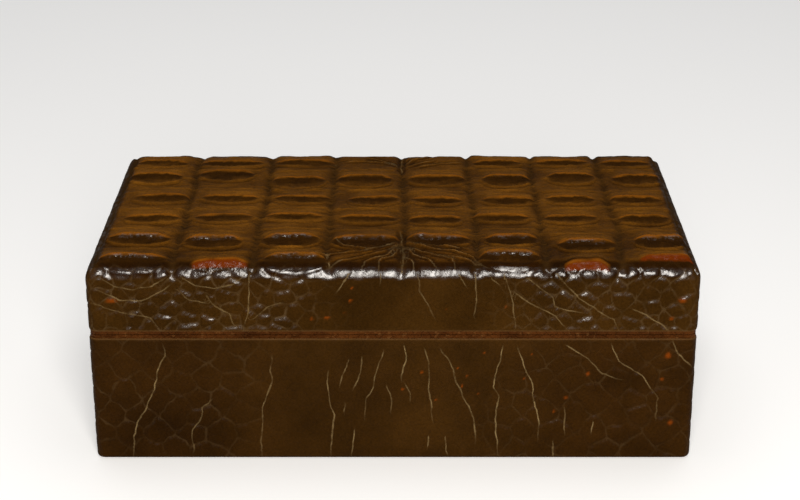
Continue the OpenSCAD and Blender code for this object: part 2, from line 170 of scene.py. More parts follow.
def pick_only(*pieces):
    bpy.ops.object.select_all(action="DESELECT")
    for piece in pieces:
        piece.select_set(True)
    bpy.context.view_layer.objects.active = pieces[0]


def points_of(piece):
    places = np.empty(len(piece.data.vertices) * 3)
    piece.data.vertices.foreach_get("co", places)
    return places.reshape(-1, 3) / MM


def move_points(piece, places):
    piece.data.vertices.foreach_set("co", (places * MM).astype(np.float32).ravel())
    piece.data.update()


def normals_of(piece):
    facing = np.empty(len(piece.data.vertices) * 3, np.float32)
    piece.data.vertex_normals.foreach_get("vector", facing)
    return facing.reshape(-1, 3).astype(float)


def paint(piece, name, value):
    """Keeps a number for each point, for the material to read."""
    attribute = piece.data.attributes.new(name, "FLOAT", "POINT")
    attribute.data.foreach_set("value", np.clip(value, 0, 1).astype(np.float32))


def panel(name, cells, size, at, turned=(0, 0, 0)):
    """A flat panel of square mesh, size (across, up), turned in place."""
    bpy.ops.mesh.primitive_grid_add(
        x_subdivisions=cells[0], y_subdivisions=cells[1], size=1,
        location=Vector(at) * MM, rotation=turned,
    )
    piece = bpy.context.object
    piece.name = name
    piece.scale = (size[0] * MM, size[1] * MM, 1)
    bpy.ops.object.transform_apply(location=True, rotation=True, scale=True)
    return piece


def joined(name, pieces):
    pick_only(*pieces)
    bpy.ops.object.join()
    piece = bpy.context.object
    piece.name = name
    piece.data.name = name
    bpy.ops.object.mode_set(mode="EDIT")
    bpy.ops.mesh.select_all(action="SELECT")
    bpy.ops.mesh.remove_doubles(threshold=0.01 * MM)
    bpy.ops.mesh.normals_make_consistent(inside=False)
    bpy.ops.mesh.select_all(action="DESELECT")
    bpy.ops.object.mode_set(mode="OBJECT")
    return piece


def wall_panels(name, across, deep, tall, z0, z1):
    """The four walls of an open box, as flat panels that share their corner points."""
    walls = []
    for side, cells, width, x, y, turn in (
        ("front", across, 2 * HALF_W, 0, -HALF_D, 0),
        ("back", across, 2 * HALF_W, 0, HALF_D, math.pi),
        ("right", deep, 2 * HALF_D, HALF_W, 0, math.pi / 2),
        ("left", deep, 2 * HALF_D, -HALF_W, 0, -math.pi / 2),
    ):
        size, at = (width, z1 - z0), (x, y, (z0 + z1) / 2)
        walls.append(panel(f"{name}_{side}", (cells, tall), size, at, (math.pi / 2, 0, turn)))
    return walls


def inset_loop(places, under):
    """The points moved under the hide's face, by under, along the round-cornered outline."""
    side = np.sign(places[:, :2])
    out = np.abs(places[:, :2])
    centre = np.array([HALF_W - CORNER_R, HALF_D - CORNER_R])
    past = out - centre
    corner = (past > 0).all(1)
    length = np.maximum(np.hypot(past[:, 0], past[:, 1]), 1e-9)
    round_place = centre + past / length[:, None] * max(CORNER_R - under, 0)
    limit = np.array([HALF_W - under, HALF_D - under])
    plain = np.where(past > 0, limit, out)
    moved = np.where(corner[:, None], round_place, plain)
    moved = np.minimum(moved, limit)
    result = places.copy()
    result[:, :2] = side * moved
    return result


def select_edge_points(piece, chosen):
    """Selects the open edges whose points are all chosen."""
    mesh = piece.data
    ends = np.empty(len(mesh.edges) * 2, np.int64)
    mesh.edges.foreach_get("vertices", ends)
    ends = ends.reshape(-1, 2)
    used = np.zeros(len(mesh.edges), np.int64)
    loops = np.empty(len(mesh.loops), np.int64)
    mesh.loops.foreach_get("edge_index", loops)
    np.add.at(used, loops, 1)
    pick = (used == 1) & chosen[ends].all(1)
    mesh.edges.foreach_set("select", pick)
    points = np.zeros(len(mesh.vertices), bool)
    points[ends[pick].ravel()] = True
    mesh.vertices.foreach_set("select", points)
    mesh.polygons.foreach_set("select", np.zeros(len(mesh.polygons), bool))


def extrude_rings(piece, rings):
    """Extrudes the selected open loop once for each ring, a function that gives the new points' places."""
    for ring in rings:
        bpy.ops.object.mode_set(mode="EDIT")
        bpy.ops.mesh.select_mode(type="EDGE")
        bpy.ops.mesh.extrude_edges_move()
        bpy.ops.object.mode_set(mode="OBJECT")
        picked = np.zeros(len(piece.data.vertices), bool)
        piece.data.vertices.foreach_get("select", picked)
        places = points_of(piece)
        places[picked] = ring(places[picked])
        move_points(piece, places)


def base_rim_height(y):
    return BASE_RIM - np.maximum(y - BEVEL_Y, 0) * BEVEL_SLOPE


def lid_rim_height(y):
    return LID_RIM + np.maximum(y - BEVEL_Y, 0) * BEVEL_SLOPE


def at_level(under, level):
    """A ring for extrude_rings: drawn in under the hide's face, all at one level."""
    def ring(places):
        places = inset_loop(places, under)
        places[:, 2] = level
        return places
    return ring


def at_rim(under, rim_height):
    """A ring for extrude_rings: drawn in under the hide's face, and along the rim."""
    def ring(places):
        places = inset_loop(places, under)
        places[:, 2] = rim_height(places[:, 1])
        return places
    return ring


def side_place(x, y, depth_x, depth_y):
    """The place along the walls, counted from the middle of the front to the right and round."""
    front_or_back = depth_y <= depth_x
    front = np.where(y < 0, x, 2 * HALF_D + 2 * HALF_W - x)
    end = np.where(x > 0, HALF_W + HALF_D + y, 3 * HALF_W + 3 * HALF_D - y)
    return np.mod(np.where(front_or_back, front, end), GIRTH)


# The hide's pattern on the lid, read from the photograph's top and front

COLUMN_LINES = [-124, -90.9, -56.9, -27.1, 4.3, 34.9, 63.8, 95.2, 124.5]

# Each row of keels: its place, its height, the depth of its dark front and how that glosses, then
# every keel's left end, right end, how far it strays to the back and how far its front is worn to red
KEEL_ROWS = [
    (56.6, 1.1, 6.0, 0.2, [
        (-120, -98, 0, 0), (-90, -62, -0.5, 0), (-55, -28, 0.5, 0),
        (38, 59, 0, 0), (67, 91, 0.6, 0), (98, 120, -0.4, 0)]),
    (36.6, 1.6, 10.0, 0.5, [
        (-121.5, -98.5, 1.9, 0.1), (-89.2, -65.4, 5.3, 0), (-55.2, -32.2, -3.2, 0.35),
        (-25.5, -1.7, -1.5, 0.35), (7.7, 32.4, -1.5, 0.2), (41.7, 62.1, -1.5, 0.35),
        (71.5, 91.9, 1.0, 0.25), (101.2, 123.3, -0.7, 0.4)]),
    (8.9, 1.25, 6.6, 0.25, [
        (-115.6, -91.8, 1.5, 0.05), (-85.0, -61.2, 1.5, 0.1), (-52.7, -28.0, 0.7, 0.3),
        (-19.5, 1.8, -0.2, 0.1), (8.6, 29.8, -1.0, 0.1), (40.0, 62.1, -1.0, 0.1),
        (68.9, 89.3, -1.0, 0.1), (97.8, 119.1, -0.7, 0.15)]),
    (-14.3, 1.25, 6.2, 0.25, [
        (-116.4, -93.5, 0, 0.05), (-85.8, -62.0, 1.2, 0.1), (-55.2, -31.4, 1.2, 0.1),
        (-22.9, 0.9, -0.85, 0.15), (7.7, 29.0, -1.7, 0.2), (34.9, 58.7, 0.85, 0.1),
        (66.4, 87.6, 0, 0.2), (98.7, 119.9, -0.85, 0.1)]),
    (-40.1, 2.3, 9.4, 1.0, [
        (-119.8, -95.2, 1.9, 0.2), (-87.5, -64.6, -1.0, 0.45), (-55.2, -32.2, 1.0, 0.2),
        (-25.5, 2.6, 0.2, 0.4), (6.0, 31.5, 0.7, 0.4), (40.0, 60.4, 1.5, 0.3),
        (69.8, 92.7, -4.1, 0.55), (102.9, 124.2, -0.7, 0.6)]),
    (-62.4, 2.3, 8.6, 1.0, [
        (-121.5, -94.3, 1.5, 0.6), (-82.4, -60.3, -2.7, 1), (-52.7, -28.0, 1.5, 0.05),
        (36.6, 60.4, 4.1, 0.1), (71.5, 88.5, -4.4, 1), (102.1, 124.2, -0.2, 0.8)]),
]
# A keel whose front is worn further than this shows red there
WORN_TO_RED = 0.7
Keel = namedtuple("Keel", "number middle half crest_y height deep gloss worn lot other")

# Folds that fan out from the middle of the front and back edges of the top
FAN_FOLDS = [
    [(3.5, -30), (3.5, -37), (4.3, -50), (3.8, -69)],
    [(3, -45), (2.6, -47), (-4, -54), (-11, -59), (-21, -64), (-28, -69)],
    [(3, -46), (-2, -57), (-11, -64), (-14, -71)],
    [(3, -48), (0, -59), (-5, -62), (-6, -72)],
    [(1, -44), (-11, -51), (-21, -47), (-25, -39)],
    [(1, -45), (-14, -54), (-28, -57), (-35, -62)],
    [(4, -46), (11, -54), (20, -58), (30, -62), (40, -69)],
    [(5, -47), (8, -57), (14, -62), (20, -71)],
    [(4, -49), (5, -59), (8, -64), (9, -72)],
    [(6, -45), (16, -50), (26, -54), (33, -60), (37, -67)],
    [(8, -44), (23, -49), (33, -52)],
    [(16, -57), (25, -62), (25.6, -70)],
    [(3.5, 44), (3.6, 55), (4.5, 66)],
    [(2.6, 50), (-4, 55), (-14, 57.6), (-26, 56.7)],
    [(2, 52), (-6, 59), (-14, 64)],
    [(6, 50), (11, 55), (19.6, 59.3)],
    [(11, 50), (23, 55), (33, 56)],
    [(5, 53), (10, 60), (18, 66)],
]

# Creases on the lid's front, as x and z; those over 82 lie on the rounded edge
LID_CREASES = [
    [(-11, 94), (-16, 91), (-18, 86), (-21, 80), (-23.8, 76.4)],
    [(-3, 94), (-5, 91), (-5, 84), (-5, 81)],
    [(25, 91), (27, 86), (30, 80)],
    [(32, 91), (34, 84), (34, 74), (34, 65)],
    [(9, 90), (10.5, 84), (11, 78), (14, 73), (16.9, 66)],
    [(38, 88), (41, 83), (44, 80)],
    [(45, 87), (49, 76), (50, 70), (51, 61)],
    [(50, 78), (56, 73), (61, 70), (67, 67), (73, 60)],
    [(66, 87), (71, 81), (77, 75), (82, 71), (88, 67), (92, 65), (94, 60)],
    [(55, 84), (61, 79), (66, 75), (67, 71), (74, 69), (80, 68)],
    [(99, 70), (105, 67), (111, 63), (115, 60)],
    [(-77, 76), (-73, 71), (-68, 68), (-66, 63), (-64, 61)],
    [(-58, 88), (-59, 79), (-60, 70), (-62, 61)],
    [(-45, 73), (-51, 71), (-59, 65)],
    [(-121, 85), (-115, 80), (-107, 78.5), (-99, 80), (-92, 85)],
    [(-123, 79), (-113, 74), (-104, 73.5), (-96, 77), (-90, 82)],
    [(-88, 85), (-82, 80.5), (-74, 79), (-66, 81), (-60, 86)],
    [(-90, 79), (-84, 74), (-76, 72.5)],
    [(-124, 72), (-112, 68), (-101, 66), (-96, 60)],
]

# Creases on the base's front, as x and z, each with how plainly it shows
BASE_CREASES = [
    (0.75, [(-27.2, 42), (-28, 36), (-27.2, 27.4), (-25, 20.6), (-26, 12), (-26.3, 0.4)]),
    (0.6, [(-18.7, 47), (-21.2, 41), (-22.6, 34)]),
    (0.55, [(-20.4, 26.6), (-21.2, 22.3)]),
    (0.7, [(-17, 13.8), (-17.8, 1)]),
    (0.6, [(-12.7, 48.7), (-13.6, 41), (-17, 33.4)]),
    (0.6, [(-4.2, 51), (-7.3, 41), (-8.5, 33.4), (-11.9, 28.3), (-12.2, 19)]),
    (1.0, [(4.3, 53.8), (5.2, 48.7), (4, 42.7), (3.8, 37.6)]),
    (0.45, [(5.2, 36), (7.4, 30.8), (7.4, 27.4)]),
    (0.55, [(-2.5, 35), (-0.5, 29), (-0.5, 22.3)]),
    (0.6, [(12.8, 52), (14.5, 46), (15, 32.5), (17, 17.2)]),
    (0.7, [(14.5, 10.4), (14.5, 5.3)]),
    (0.75, [(22.2, 10.4), (23.3, 1)]),
    (0.65, [(19.6, 52), (23.9, 46), (26.4, 36), (31.5, 25.7), (34.9, 17.2), (35.2, 7)]),
    (0.9, [(46, 53), (43.4, 42.7), (42, 34), (44.3, 30), (43.4, 19), (43.7, 10.4), (45, 1)]),
    (0.85, [(52, 52.6), (54.5, 44.4), (58, 36), (60, 25.7), (61.8, 17.2), (61.3, 8.7)]),
    (0.7, [(72.3, 25), (72.8, 11.3)]),
    (0.65, [(68, 8.7), (68.4, 0.4)]),
    (0.8, [(84.6, 17.5), (84.0, 12)]),
    (0.75, [(-96, 53.8), (-95.2, 48.7), (-99.4, 41), (-101, 32.5),
            (-104.5, 24), (-108.8, 17.2), (-110.5, 10.4), (-111.3, 0.4)]),
    (0.5, [(-51, 49.5), (-51, 36), (-55.2, 24), (-56, 12), (-56, 0.4)]),
    (0.4, [(-75.6, 28.3), (-80.7, 24), (-80.7, 20.6), (-85, 13.8), (-85.5, 1)]),
    (0.6, [(72.3, 53.8), (80.8, 47.8), (87.6, 40), (96, 37.6)]),
    (0.8, [(91, 53.8), (94.4, 46), (104.6, 39.3), (111.4, 29), (111.4, 19)]),
    (0.85, [(116.5, 55.5), (119, 49.5), (126.4, 42.7)]),
]

# Orange spots where the dye is gone: x, z, width and height
LID_SPOTS = [
    (-116.2, 73.6, 5, 2), (-27.4, 66, 2.4, 1.6), (-19.8, 68, 1.2, 1.2), (-17.5, 73.6, 1.4, 1.6),
    (-33.4, 65.6, 1.2, 1.2), (-16.7, 79.5, 1.2, 1), (119.5, 73.6, 3.4, 2), (115.5, 65.4, 2, 1.6),
    (46.8, 71, 0.9, 1.1), (22, 70, 0.7, 0.7),
]
BASE_SPOTS = [
    (114.8, 48.7, 2.6, 3), (117.4, 17.2, 2.4, 2), (113, 37.6, 1.5, 1.5), (81.7, 40, 1.6, 2), (73, 29, 2, 1.2),
    (68, 22.6, 1.3, 1.4), (12, 41, 1.6, 1), (4, 33, 1, 1.2), (18, 28, 1.2, 0.8), (27, 43, 1, 0.8),
    (31, 39, 1.2, 1), (29, 34.5, 0.8, 1.4), (38, 50, 0.8, 1), (55, 38, 1, 1), (58, 49, 0.8, 0.8),
    (36, 31, 0.9, 0.9),
]

# The lid's wall runs on from its top round the edge: a height on the front becomes a place on the top
FRONT_UNROLLED = -(HALF_D - TOP_R) - EDGE_RUN - (LID_TOP - TOP_R)


def on_lid_front(line):
    return [(x, z + FRONT_UNROLLED) for x, z in line]


def keels():
    """Every keel with its row's measures, and two lots of its own."""
    number = 0
    for row_y, height, deep, gloss, row in KEEL_ROWS:
        for left, right, stray, worn in row:
            number += 1
            lot, other = chance(np.array([number, number]), np.array([3, 4]), 5)
            middle, half = (left + right) / 2, (right - left) / 2 + 1.5
            yield Keel(number, middle, half, row_y + stray, height, deep, gloss, worn, lot, other)


def crest_bow(keel, across):
    """How a keel's crest bends to the back in its middle."""
    bend = (0.3 + 0.8 * keel.lot) * np.clip(1 - across ** 2, 0, 1)
    return bend + 0.9 * (keel.other - 0.5) * across - 0.5


def gathered_to_crests(flat):
    """Draws the top's mesh together along the keels' crests, so that their sharp fronts keep their form."""
    x, y, z = flat.T
    inner = np.minimum(ease(0, 2, HALF_W - abs(x)), ease(0, 2, HALF_D - abs(y))) * (z > LID_TOP - 0.01)
    moved = flat.copy()
    for keel in keels():
        across = (x - keel.middle) / keel.half
        ahead = keel.crest_y + crest_bow(keel, across) - y + 0.5
        pull = 0.5 * ahead * hill(ahead, 0, 3.2) * (1 - ease(0.75, 1.25, np.abs(across)))
        moved[:, 1] += pull * inner
    return moved


def keel_form(keel, x, y, inside, front, reach):
    """How high a keel stands: steep and hollow before its crest, sloping off behind it."""
    ends = ease(0.0, 0.8, inside)
    down = np.clip(front / reach, 0, 1)
    up = np.clip(-front / 13, 0, 1)
    share = 0.45 + 0.33 * keel.gloss
    sharp = 1.1 + 0.15 * keel.gloss
    drop = np.exp(-(np.maximum(front, 0) / sharp) ** (1.6 + 0.6 * keel.gloss))
    steep = share * drop + (1 - share) * (1 - down) ** 2
    tall = keel.height * (0.85 + 0.3 * keel.lot) * ends
    form = tall * np.where(front > 0, steep, (1 - up) ** 1.8)
    form -= 0.3 * np.sin(np.pi * down) * ends
    ribs = waves(x * 3.2, y, 4, 40 + keel.number, 1) * (front > 0) * (down < 1) * ends
    return form + 0.24 * ribs


def keel_folds(keel, x, y, across, front, reach):
    """The low folds of the scute, before its keel and behind it."""
    beyond = front - reach - 0.55 * waves(x, y, 8, 400 + keel.number)
    behind = front + 0.9 * waves(x, y, 9, 450 + keel.number)
    folds = (0.14 + 0.36 * keel.gloss) * hill(beyond, 1.2, 1.15)
    folds += 0.42 * keel.other * hill(beyond, 5.6 + 1.2 * keel.lot, 1.15)
    folds -= 0.4 * hill(beyond, 3.4, 1.0)
    folds += 0.34 * keel.lot * hill(behind, -5.0 - keel.lot, 1.3)
    folds += 0.36 * hill(behind, -9.4 - keel.other, 1.3)
    return folds * ease(0.0, 0.3, np.clip(1 - (across / 1.12) ** 2, 0, 1))


def keel_field(u, v):
    """The keels over the lid's top: their relief, their crests, their dark fronts, painted dark as shade
    under the crests and as darker dye, the fronts worn to red, and where the dark fronts gloss."""
    relief, folds, crest, hollow, red, shine = np.zeros((6, len(u)))
    for keel in keels():
        near = np.flatnonzero((abs(u - keel.middle) < keel.half + 4) & (abs(v - keel.crest_y) < 24))
        x, y = u[near], v[near]
        across = (x - keel.middle + 0.5 * waves(x, y, 7, 500 + keel.number)) / keel.half
        inside = np.clip(1 - across ** 2, 0, 1)
        front = keel.crest_y + crest_bow(keel, across) - y + 0.35 * waves(x, y, 5, 32)
        reach = keel.deep * (0.1 + 0.9 * inside ** 0.5) * (0.88 + 0.24 * keel.other)
        form = keel_form(keel, x, y, inside, front, reach)
        relief[near] = np.where(np.abs(form) > np.abs(relief[near]), form, relief[near])
        folds[near] += keel_folds(keel, x, y, across, front, reach)

        patchy = np.clip(0.85 + 0.5 * waves(x, y, 5, 300 + keel.number), 0.3, 1)
        line = ease(-1.5, -0.4, front) * (1 - ease(0.25, 0.85, front)) * ease(0.02, 0.4, inside)
        crest[near] = np.maximum(crest[near], line * patchy * (0.62 + 0.38 * min(2.2 * keel.worn, 1)))
        # The dark front under each crest: painted shade where the crest shades its hollow, and darker dye
        # there
        depth = front / reach + 0.16 * waves(x, y, 4.5, 480 + keel.number)
        dark = ease(0.25, 0.95, front) * (1 - ease(0.12, 1.2, depth)) * ease(0.0, 0.25, inside)
        hollow[near] = np.maximum(hollow[near], dark)
        glossy = keel.gloss * ease(0.5, 0.9, front) * (1 - ease(2.6, 4.0, front)) * ease(0.1, 0.4, inside)
        if keel.worn > WORN_TO_RED:
            red_depth = 0.6 + 1.7 * (keel.worn - 0.6) / 0.4
            face = ease(0.0, 0.6, front) * (1 - ease(red_depth, red_depth + 0.7, front))
            red[near] = np.maximum(red[near], face * ease(0.1, 0.35, inside))
            glossy *= 0.2
        shine[near] = np.maximum(shine[near], glossy)
    return relief + folds, crest, hollow, red, shine


def column_grooves(u, v):
    """The wrinkled valleys between the columns of scutes, and the broken hairline down each one's middle:
    how far each point lies to its one side or the other, and how plainly it shows."""
    groove, side, plainly = np.zeros_like(u), np.full_like(u, 9.0), np.zeros_like(u)
    for index, line in enumerate(COLUMN_LINES):
        swing = 1.9 * waves(v, np.full_like(v, 3.0 + index), 24, 50 + index)
        swing += 0.6 * waves(v, np.full_like(v, 5.0 + index), 5, 150 + index)
        away = u - line - swing
        width = 1.7 + 0.6 * waves(v, u, 14, 60 + index)
        groove = np.maximum(groove, hill(away, 0, width))
        broken = ease(-0.2, 0.5, waves(v, np.full_like(v, 8.0 + index), 7, 170 + index))
        nearer = np.abs(away) < np.abs(side)
        side[nearer] = away[nearer]
        plainly[nearer] = broken[nearer]
    return groove, side, plainly * (1 - ease(0.9, 1.5, np.abs(side)))


def drawn_creases(x, y, lines, width, seed, catch, reach=3.0):
    """Cracks drawn in the hide: how deep each point lies in one, the low swellings beside it, how far it lies
    to one side or the other, how plainly the crack shows there, and the step that brings a point nearer
    than catch onto the crack's own line."""
    crack, swell, side, plainly = np.zeros((4, len(x)))
    closest, pull = np.full(len(x), reach), np.zeros((len(x), 2))
    x = x + 0.75 * waves(x, y, 4.2, seed, 3) + 0.4 * waves(x, y, 10, seed + 1)
    y = y + 0.5 * waves(x, y, 4.2, seed + 2, 3)
    patchy = np.clip(0.85 + 0.6 * waves(x, y, 5, seed + 3), 0.25, 1)
    for plain, line in lines:
        away, along, onto, hand = line_distance(x, y, line, reach)
        fade = plain * ease(-0.02, 0.08, along) * (1 - 0.8 * ease(0.8, 1, along))
        nearer = away < closest
        closest[nearer] = away[nearer]
        pull[nearer] = onto[nearer]
        side[nearer] = (away * hand)[nearer]
        plainly[nearer] = (fade * patchy)[nearer]
        away = np.where(nearer & (away < catch), 0, away)
        crack = np.maximum(crack, patchy * fade * hill(away, 0, width))
        swell = np.maximum(swell, fade * hill(away, 2.2 * width, width))
    caught = closest < catch
    side[caught] = 0
    plainly *= 1 - ease(0.9, 1.5, closest)
    return crack, swell, side, plainly, pull * caught[:, None]


def beside(side):
    """A distance to one side or the other of a line, as a material reads it: 0.5 on the line itself."""
    return 0.5 + np.clip(side, -2, 2) / 4


def spots_field(x, y, spots):
    mask = np.zeros_like(x)
    x = x + 0.35 * waves(x, y, 1.6, 120)
    y = y + 0.35 * waves(x, y, 1.6, 121)
    for cx, cy, wide, tall in spots:
        away = np.hypot((x - cx) / wide, (y - cy) / tall) * 2
        mask = np.maximum(mask, 1 - ease(0.2, 1.35, away))
    return mask


# The lid's hide

def lid_wrap(flat):
    """Carries a plain open box's points onto the lid, with round top edges and corners.
    Gives their places, their places on the hide laid flat, and how far past the top's flat part they lie."""
    x, y, z = flat.T
    in_x, in_y, in_z = HALF_W - abs(x), HALF_D - abs(y), LID_TOP - z
    top = in_z < 0.01
    ends = ~top & (in_x < 0.01) & (in_y > 0.01)

    def lean(depth):
        return np.arctan(np.clip((TOP_R - depth) / TOP_R, 0, 1))

    def drawn_in(depth):
        return np.where(depth < TOP_R, TOP_R - TOP_R * np.sin(lean(depth)), depth)

    steep = math.pi / 2 - lean(in_z)
    wall_in = np.where(in_z < TOP_R, TOP_R - TOP_R * np.sin(steep), 0)
    share = wall_in / drawn_in(np.zeros(1))[0]
    along_x = (1 - share) * in_x + share * drawn_in(in_x)
    along_y = (1 - share) * in_y + share * drawn_in(in_y)
    inset_x = np.where(top, drawn_in(in_x), np.where(ends, wall_in, along_x))
    inset_y = np.where(top, drawn_in(in_y), np.where(ends, along_y, wall_in))
    least = np.minimum(in_x, in_y)
    level = LID_TOP - TOP_R + TOP_R * np.where(top, np.cos(lean(least)), np.cos(steep))
    level = np.where(~top & (in_z >= TOP_R), z, level)
    inset_x, inset_y = round_corner(inset_x, inset_y)
    past_on_top = TOP_R * lean(least) - np.maximum(least - TOP_R, 0)
    past = np.where(top, past_on_top, TOP_R * steep + np.maximum(in_z - TOP_R, 0))
    spread_x = HALF_W - TOP_R + np.where(in_x < TOP_R, TOP_R * lean(in_x), TOP_R - in_x)
    spread_y = HALF_D - TOP_R + np.where(in_y < TOP_R, TOP_R * lean(in_y), TOP_R - in_y)
    u = np.sign(x) * np.where(ends, HALF_W - TOP_R + past, spread_x)
    v = np.sign(y) * np.where(~top & ~ends, HALF_D - TOP_R + past, spread_y)
    places = np.stack([np.sign(x) * (HALF_W - inset_x), np.sign(y) * (HALF_D - inset_y), level], 1)
    raised = lid_rim_height(places[:, 1]) - LID_RIM
    places[:, 2] += np.where(top, 0, raised * np.clip((80 - z) / (80 - LID_RIM), 0, 1))
    return places, u, v, past, side_place(x, y, in_x, in_y)


def round_corner(inset_x, inset_y):
    """Rounds the plan's corners, less where the top edge has already drawn them in."""
    outline = np.minimum(inset_x, inset_y)
    radius = np.maximum(CORNER_R - outline, 0.4)
    vx, vy = radius - (inset_x - outline), radius - (inset_y - outline)
    corner = (vx > 0) & (vy > 0)
    shrink = np.where(corner, np.maximum(vx, vy) / np.maximum(np.hypot(vx, vy), 1e-9), 1)
    return outline + radius - vx * shrink, outline + radius - vy * shrink


def make_lid_hide():
    across, deep, tall = 300, 190, 37
    walls = wall_panels("lid_wall", across, deep, tall, LID_RIM, LID_TOP)
    top = panel("lid_face", (across, deep), (2 * HALF_W, 2 * HALF_D), (0, 0, LID_TOP))
    hide = joined("lid_hide", [top, *walls])
    flat = gathered_to_crests(points_of(hide))
    places, u, v, past, s = lid_wrap(flat)
    move_points(hide, places)
    facing = normals_of(hide)

    on_top = 1 - ease(3, 11, past)
    ends = ease(0, 3, np.abs(u) - HALF_W + TOP_R)
    on_wall = ease(1.5 + 6.5 * ends, 8 + 6 * ends, past)
    relief, crest, hollow, red, shine = keel_field(u, v)
    groove, hair_side, hair_plainly = column_grooves(u, v)

    # Scales over the walls: plump at the ends, hardly there at the middle of the front
    signed = np.where(s > GIRTH / 2, s - GIRTH, s)
    warp_s = s + 1.8 * waves(s, past, 13, 11) + 0.9 * waves(s, past, 4, 12) + 0.4 * waves(s, past, 2, 19)
    warp_v = past + 1.4 * waves(s, past, 12, 13) + 0.7 * waves(s, past, 4, 14) + 0.3 * waves(s, past, 2, 20)
    edge, lot, onto_seam, hand = scales(warp_s, warp_v, 8.8, 5.2, 21)
    plump = 0.08 + 0.92 * ease(26, 60, np.abs(signed - 8))
    depth_x, depth_y = HALF_W - abs(flat[:, 0]), HALF_D - abs(flat[:, 1])
    along = wall_direction(flat[:, 0], flat[:, 1], depth_x, depth_y)

    folds = [(0.9, line) for line in FAN_FOLDS]
    fan, fan_swell, fan_side, fan_plainly, fan_pull = drawn_creases(u, v, folds, 0.6, 41, LID_CATCH)
    lines = [(0.8, on_lid_front(line)) for line in LID_CREASES]
    drawn = drawn_creases(u, v, lines, 0.4, 43, LID_CATCH)
    cracks, crack_swell, crack_side, crack_plainly, crack_pull = drawn
    flat_top = past < 0
    on_front = (past > EDGE_RUN) & (np.abs(signed) < HALF_W - CORNER_R)
    places[flat_top, :2] += fan_pull[flat_top]
    places[on_front, 0] += crack_pull[on_front, 0]
    places[on_front, 2] += crack_pull[on_front, 1] * (places[on_front, 2] > LID_RIM + 1)
    clear_wall = (past > EDGE_RUN + 0.5) & (places[:, 2] > LID_RIM + 1.2)
    caught = (edge < LID_CATCH) & clear_wall & (cracks < 0.3) & (np.minimum(depth_x, depth_y) < 0.01)
    places[caught, :2] += along[caught] * onto_seam[caught, :1]
    places[caught, 2] -= onto_seam[caught, 1]
    edge = np.where(caught, 0, edge)

    seam = hill(edge, 0, 0.4) * plump * on_wall
    rough = 0.16 * waves(u, v, 5.5, 45) + 0.09 * waves(u, v, 2.2, 46)
    top_form = 0.3 + relief - 1.15 * groove * (1 - 0.6 * hollow) + rough
    top_form += 0.42 * waves(u * 0.55, v, 5.0, 48) + 0.65 * waves(u * 0.5, v, 3.0, 47) * groove
    top_form += 0.5 * fan - 0.55 * fan_swell
    # The scales lie flatter towards the upright corners
    steady = 0.15 + 0.85 * ease(1, 9, depth_x + depth_y)
    pillow = ease(0, 1.7, edge) * (0.25 + 0.95 * lot ** 2)
    wall_form = plump * steady * (0.55 * pillow - 0.4) - 0.2 * seam
    wall_form += 0.1 * crack_swell - 0.25 * cracks + 0.35 * rough
    wall_form += 0.22 * waves(u, v * 0.4, 3.4, 49) * (1 - ease(9, 14, past))
    above_rim = places[:, 2] - lid_rim_height(places[:, 1])
    form = (top_form * on_top + wall_form * on_wall) * ease(0, 2.2, above_rim)
    form -= 0.35 * (1 - ease(0, 0.9, above_rim))
    move_points(hide, places + facing * np.maximum(form, -1.15)[:, None])

    # Height over the top for painted light and shade: lighter where raised, partly wear on the high spots,
    # darker where low; also darker towards the front of the top
    paint(hide, "high", (top_form + 0.6 * groove + 0.7 - 0.35 * ease(15, 55, -v)) / 2.2)
    # The top painted lighter than the walls: partly the hide's own golden colour, partly painted light from
    # above
    paint(hide, "topside", 1 - ease(0.5, 3.2, past))
    # A dark band along the round top edge, weaker at the ends: partly darker polished dye, partly a painted
    # reflection of dark surroundings
    paint(hide, "dark_edge", ease(0.3, 3.0, past) * (1 - ease(7.5, 10.5, past)) * (1 - 0.7 * ends))
    paint(hide, "crest", crest * (1 - ease(5, 9, past)))
    paint(hide, "red", red * (1 - ease(5, 9, past)))
    # The keels' dark fronts and the low places beside the fan folds: painted shade in these hollows, and on
    # the keels also darker dye
    paint(hide, "hollow", np.maximum(hollow * (1 - ease(6, 10, past)), 0.75 * fan_swell * on_top))
    paint(hide, "groove", groove * on_top)
    fan_first = np.abs(fan_side) < np.abs(hair_side)
    top_side = np.where(fan_first, fan_side, hair_side)
    top_plainly = np.where(fan_first, 0.42 * fan_plainly, 0.8 * hair_plainly)
    short_of_edge = past < TOP_R
    paint(hide, "crack", np.where(short_of_edge, top_plainly, 0.65 * crack_plainly))
    paint(hide, "crack_side", beside(np.where(short_of_edge, top_side, crack_side)))
    patchy = np.clip(0.65 + 0.6 * waves(s, past, 8, 18), 0.15, 1)
    paint(hide, "seam", (1 - ease(0.8, 1.4, edge)) * plump * on_wall * patchy)
    paint(hide, "seam_side", beside(edge * hand))
    on_spots = ease(0, 6, -(v + 63)) * (np.abs(u) <= HALF_W)
    paint(hide, "spot", spots_field(u, v - FRONT_UNROLLED, LID_SPOTS) * on_spots)
    # The polish is left where the hide stands proud and faces up: the round edge, the scales' upper edges
    # and the keels' fronts
    turned = normals_of(hide)
    sideways, upward = np.abs(turned[:, 0]), turned[:, 2]
    proud = ease(0.15, 0.37, upward) * ease(4.2, 6.0, past) * (1 - 0.97 * ease(0.12, 0.45, sideways))
    proud *= 1 - 0.9 * np.maximum(cracks, crack_swell)
    keel_fronts = shine * (1 - ease(0.60, 0.80, upward))
    paint(hide, "glaze", np.maximum(proud, keel_fronts) * (1 - 0.6 * seam))
    # A lighter line along the rim: partly the pared edge's own colour, partly a painted highlight where the
    # edge catches light
    paint(hide, "pared_edge_and_highlight", 1 - ease(0.2, 0.9, above_rim))

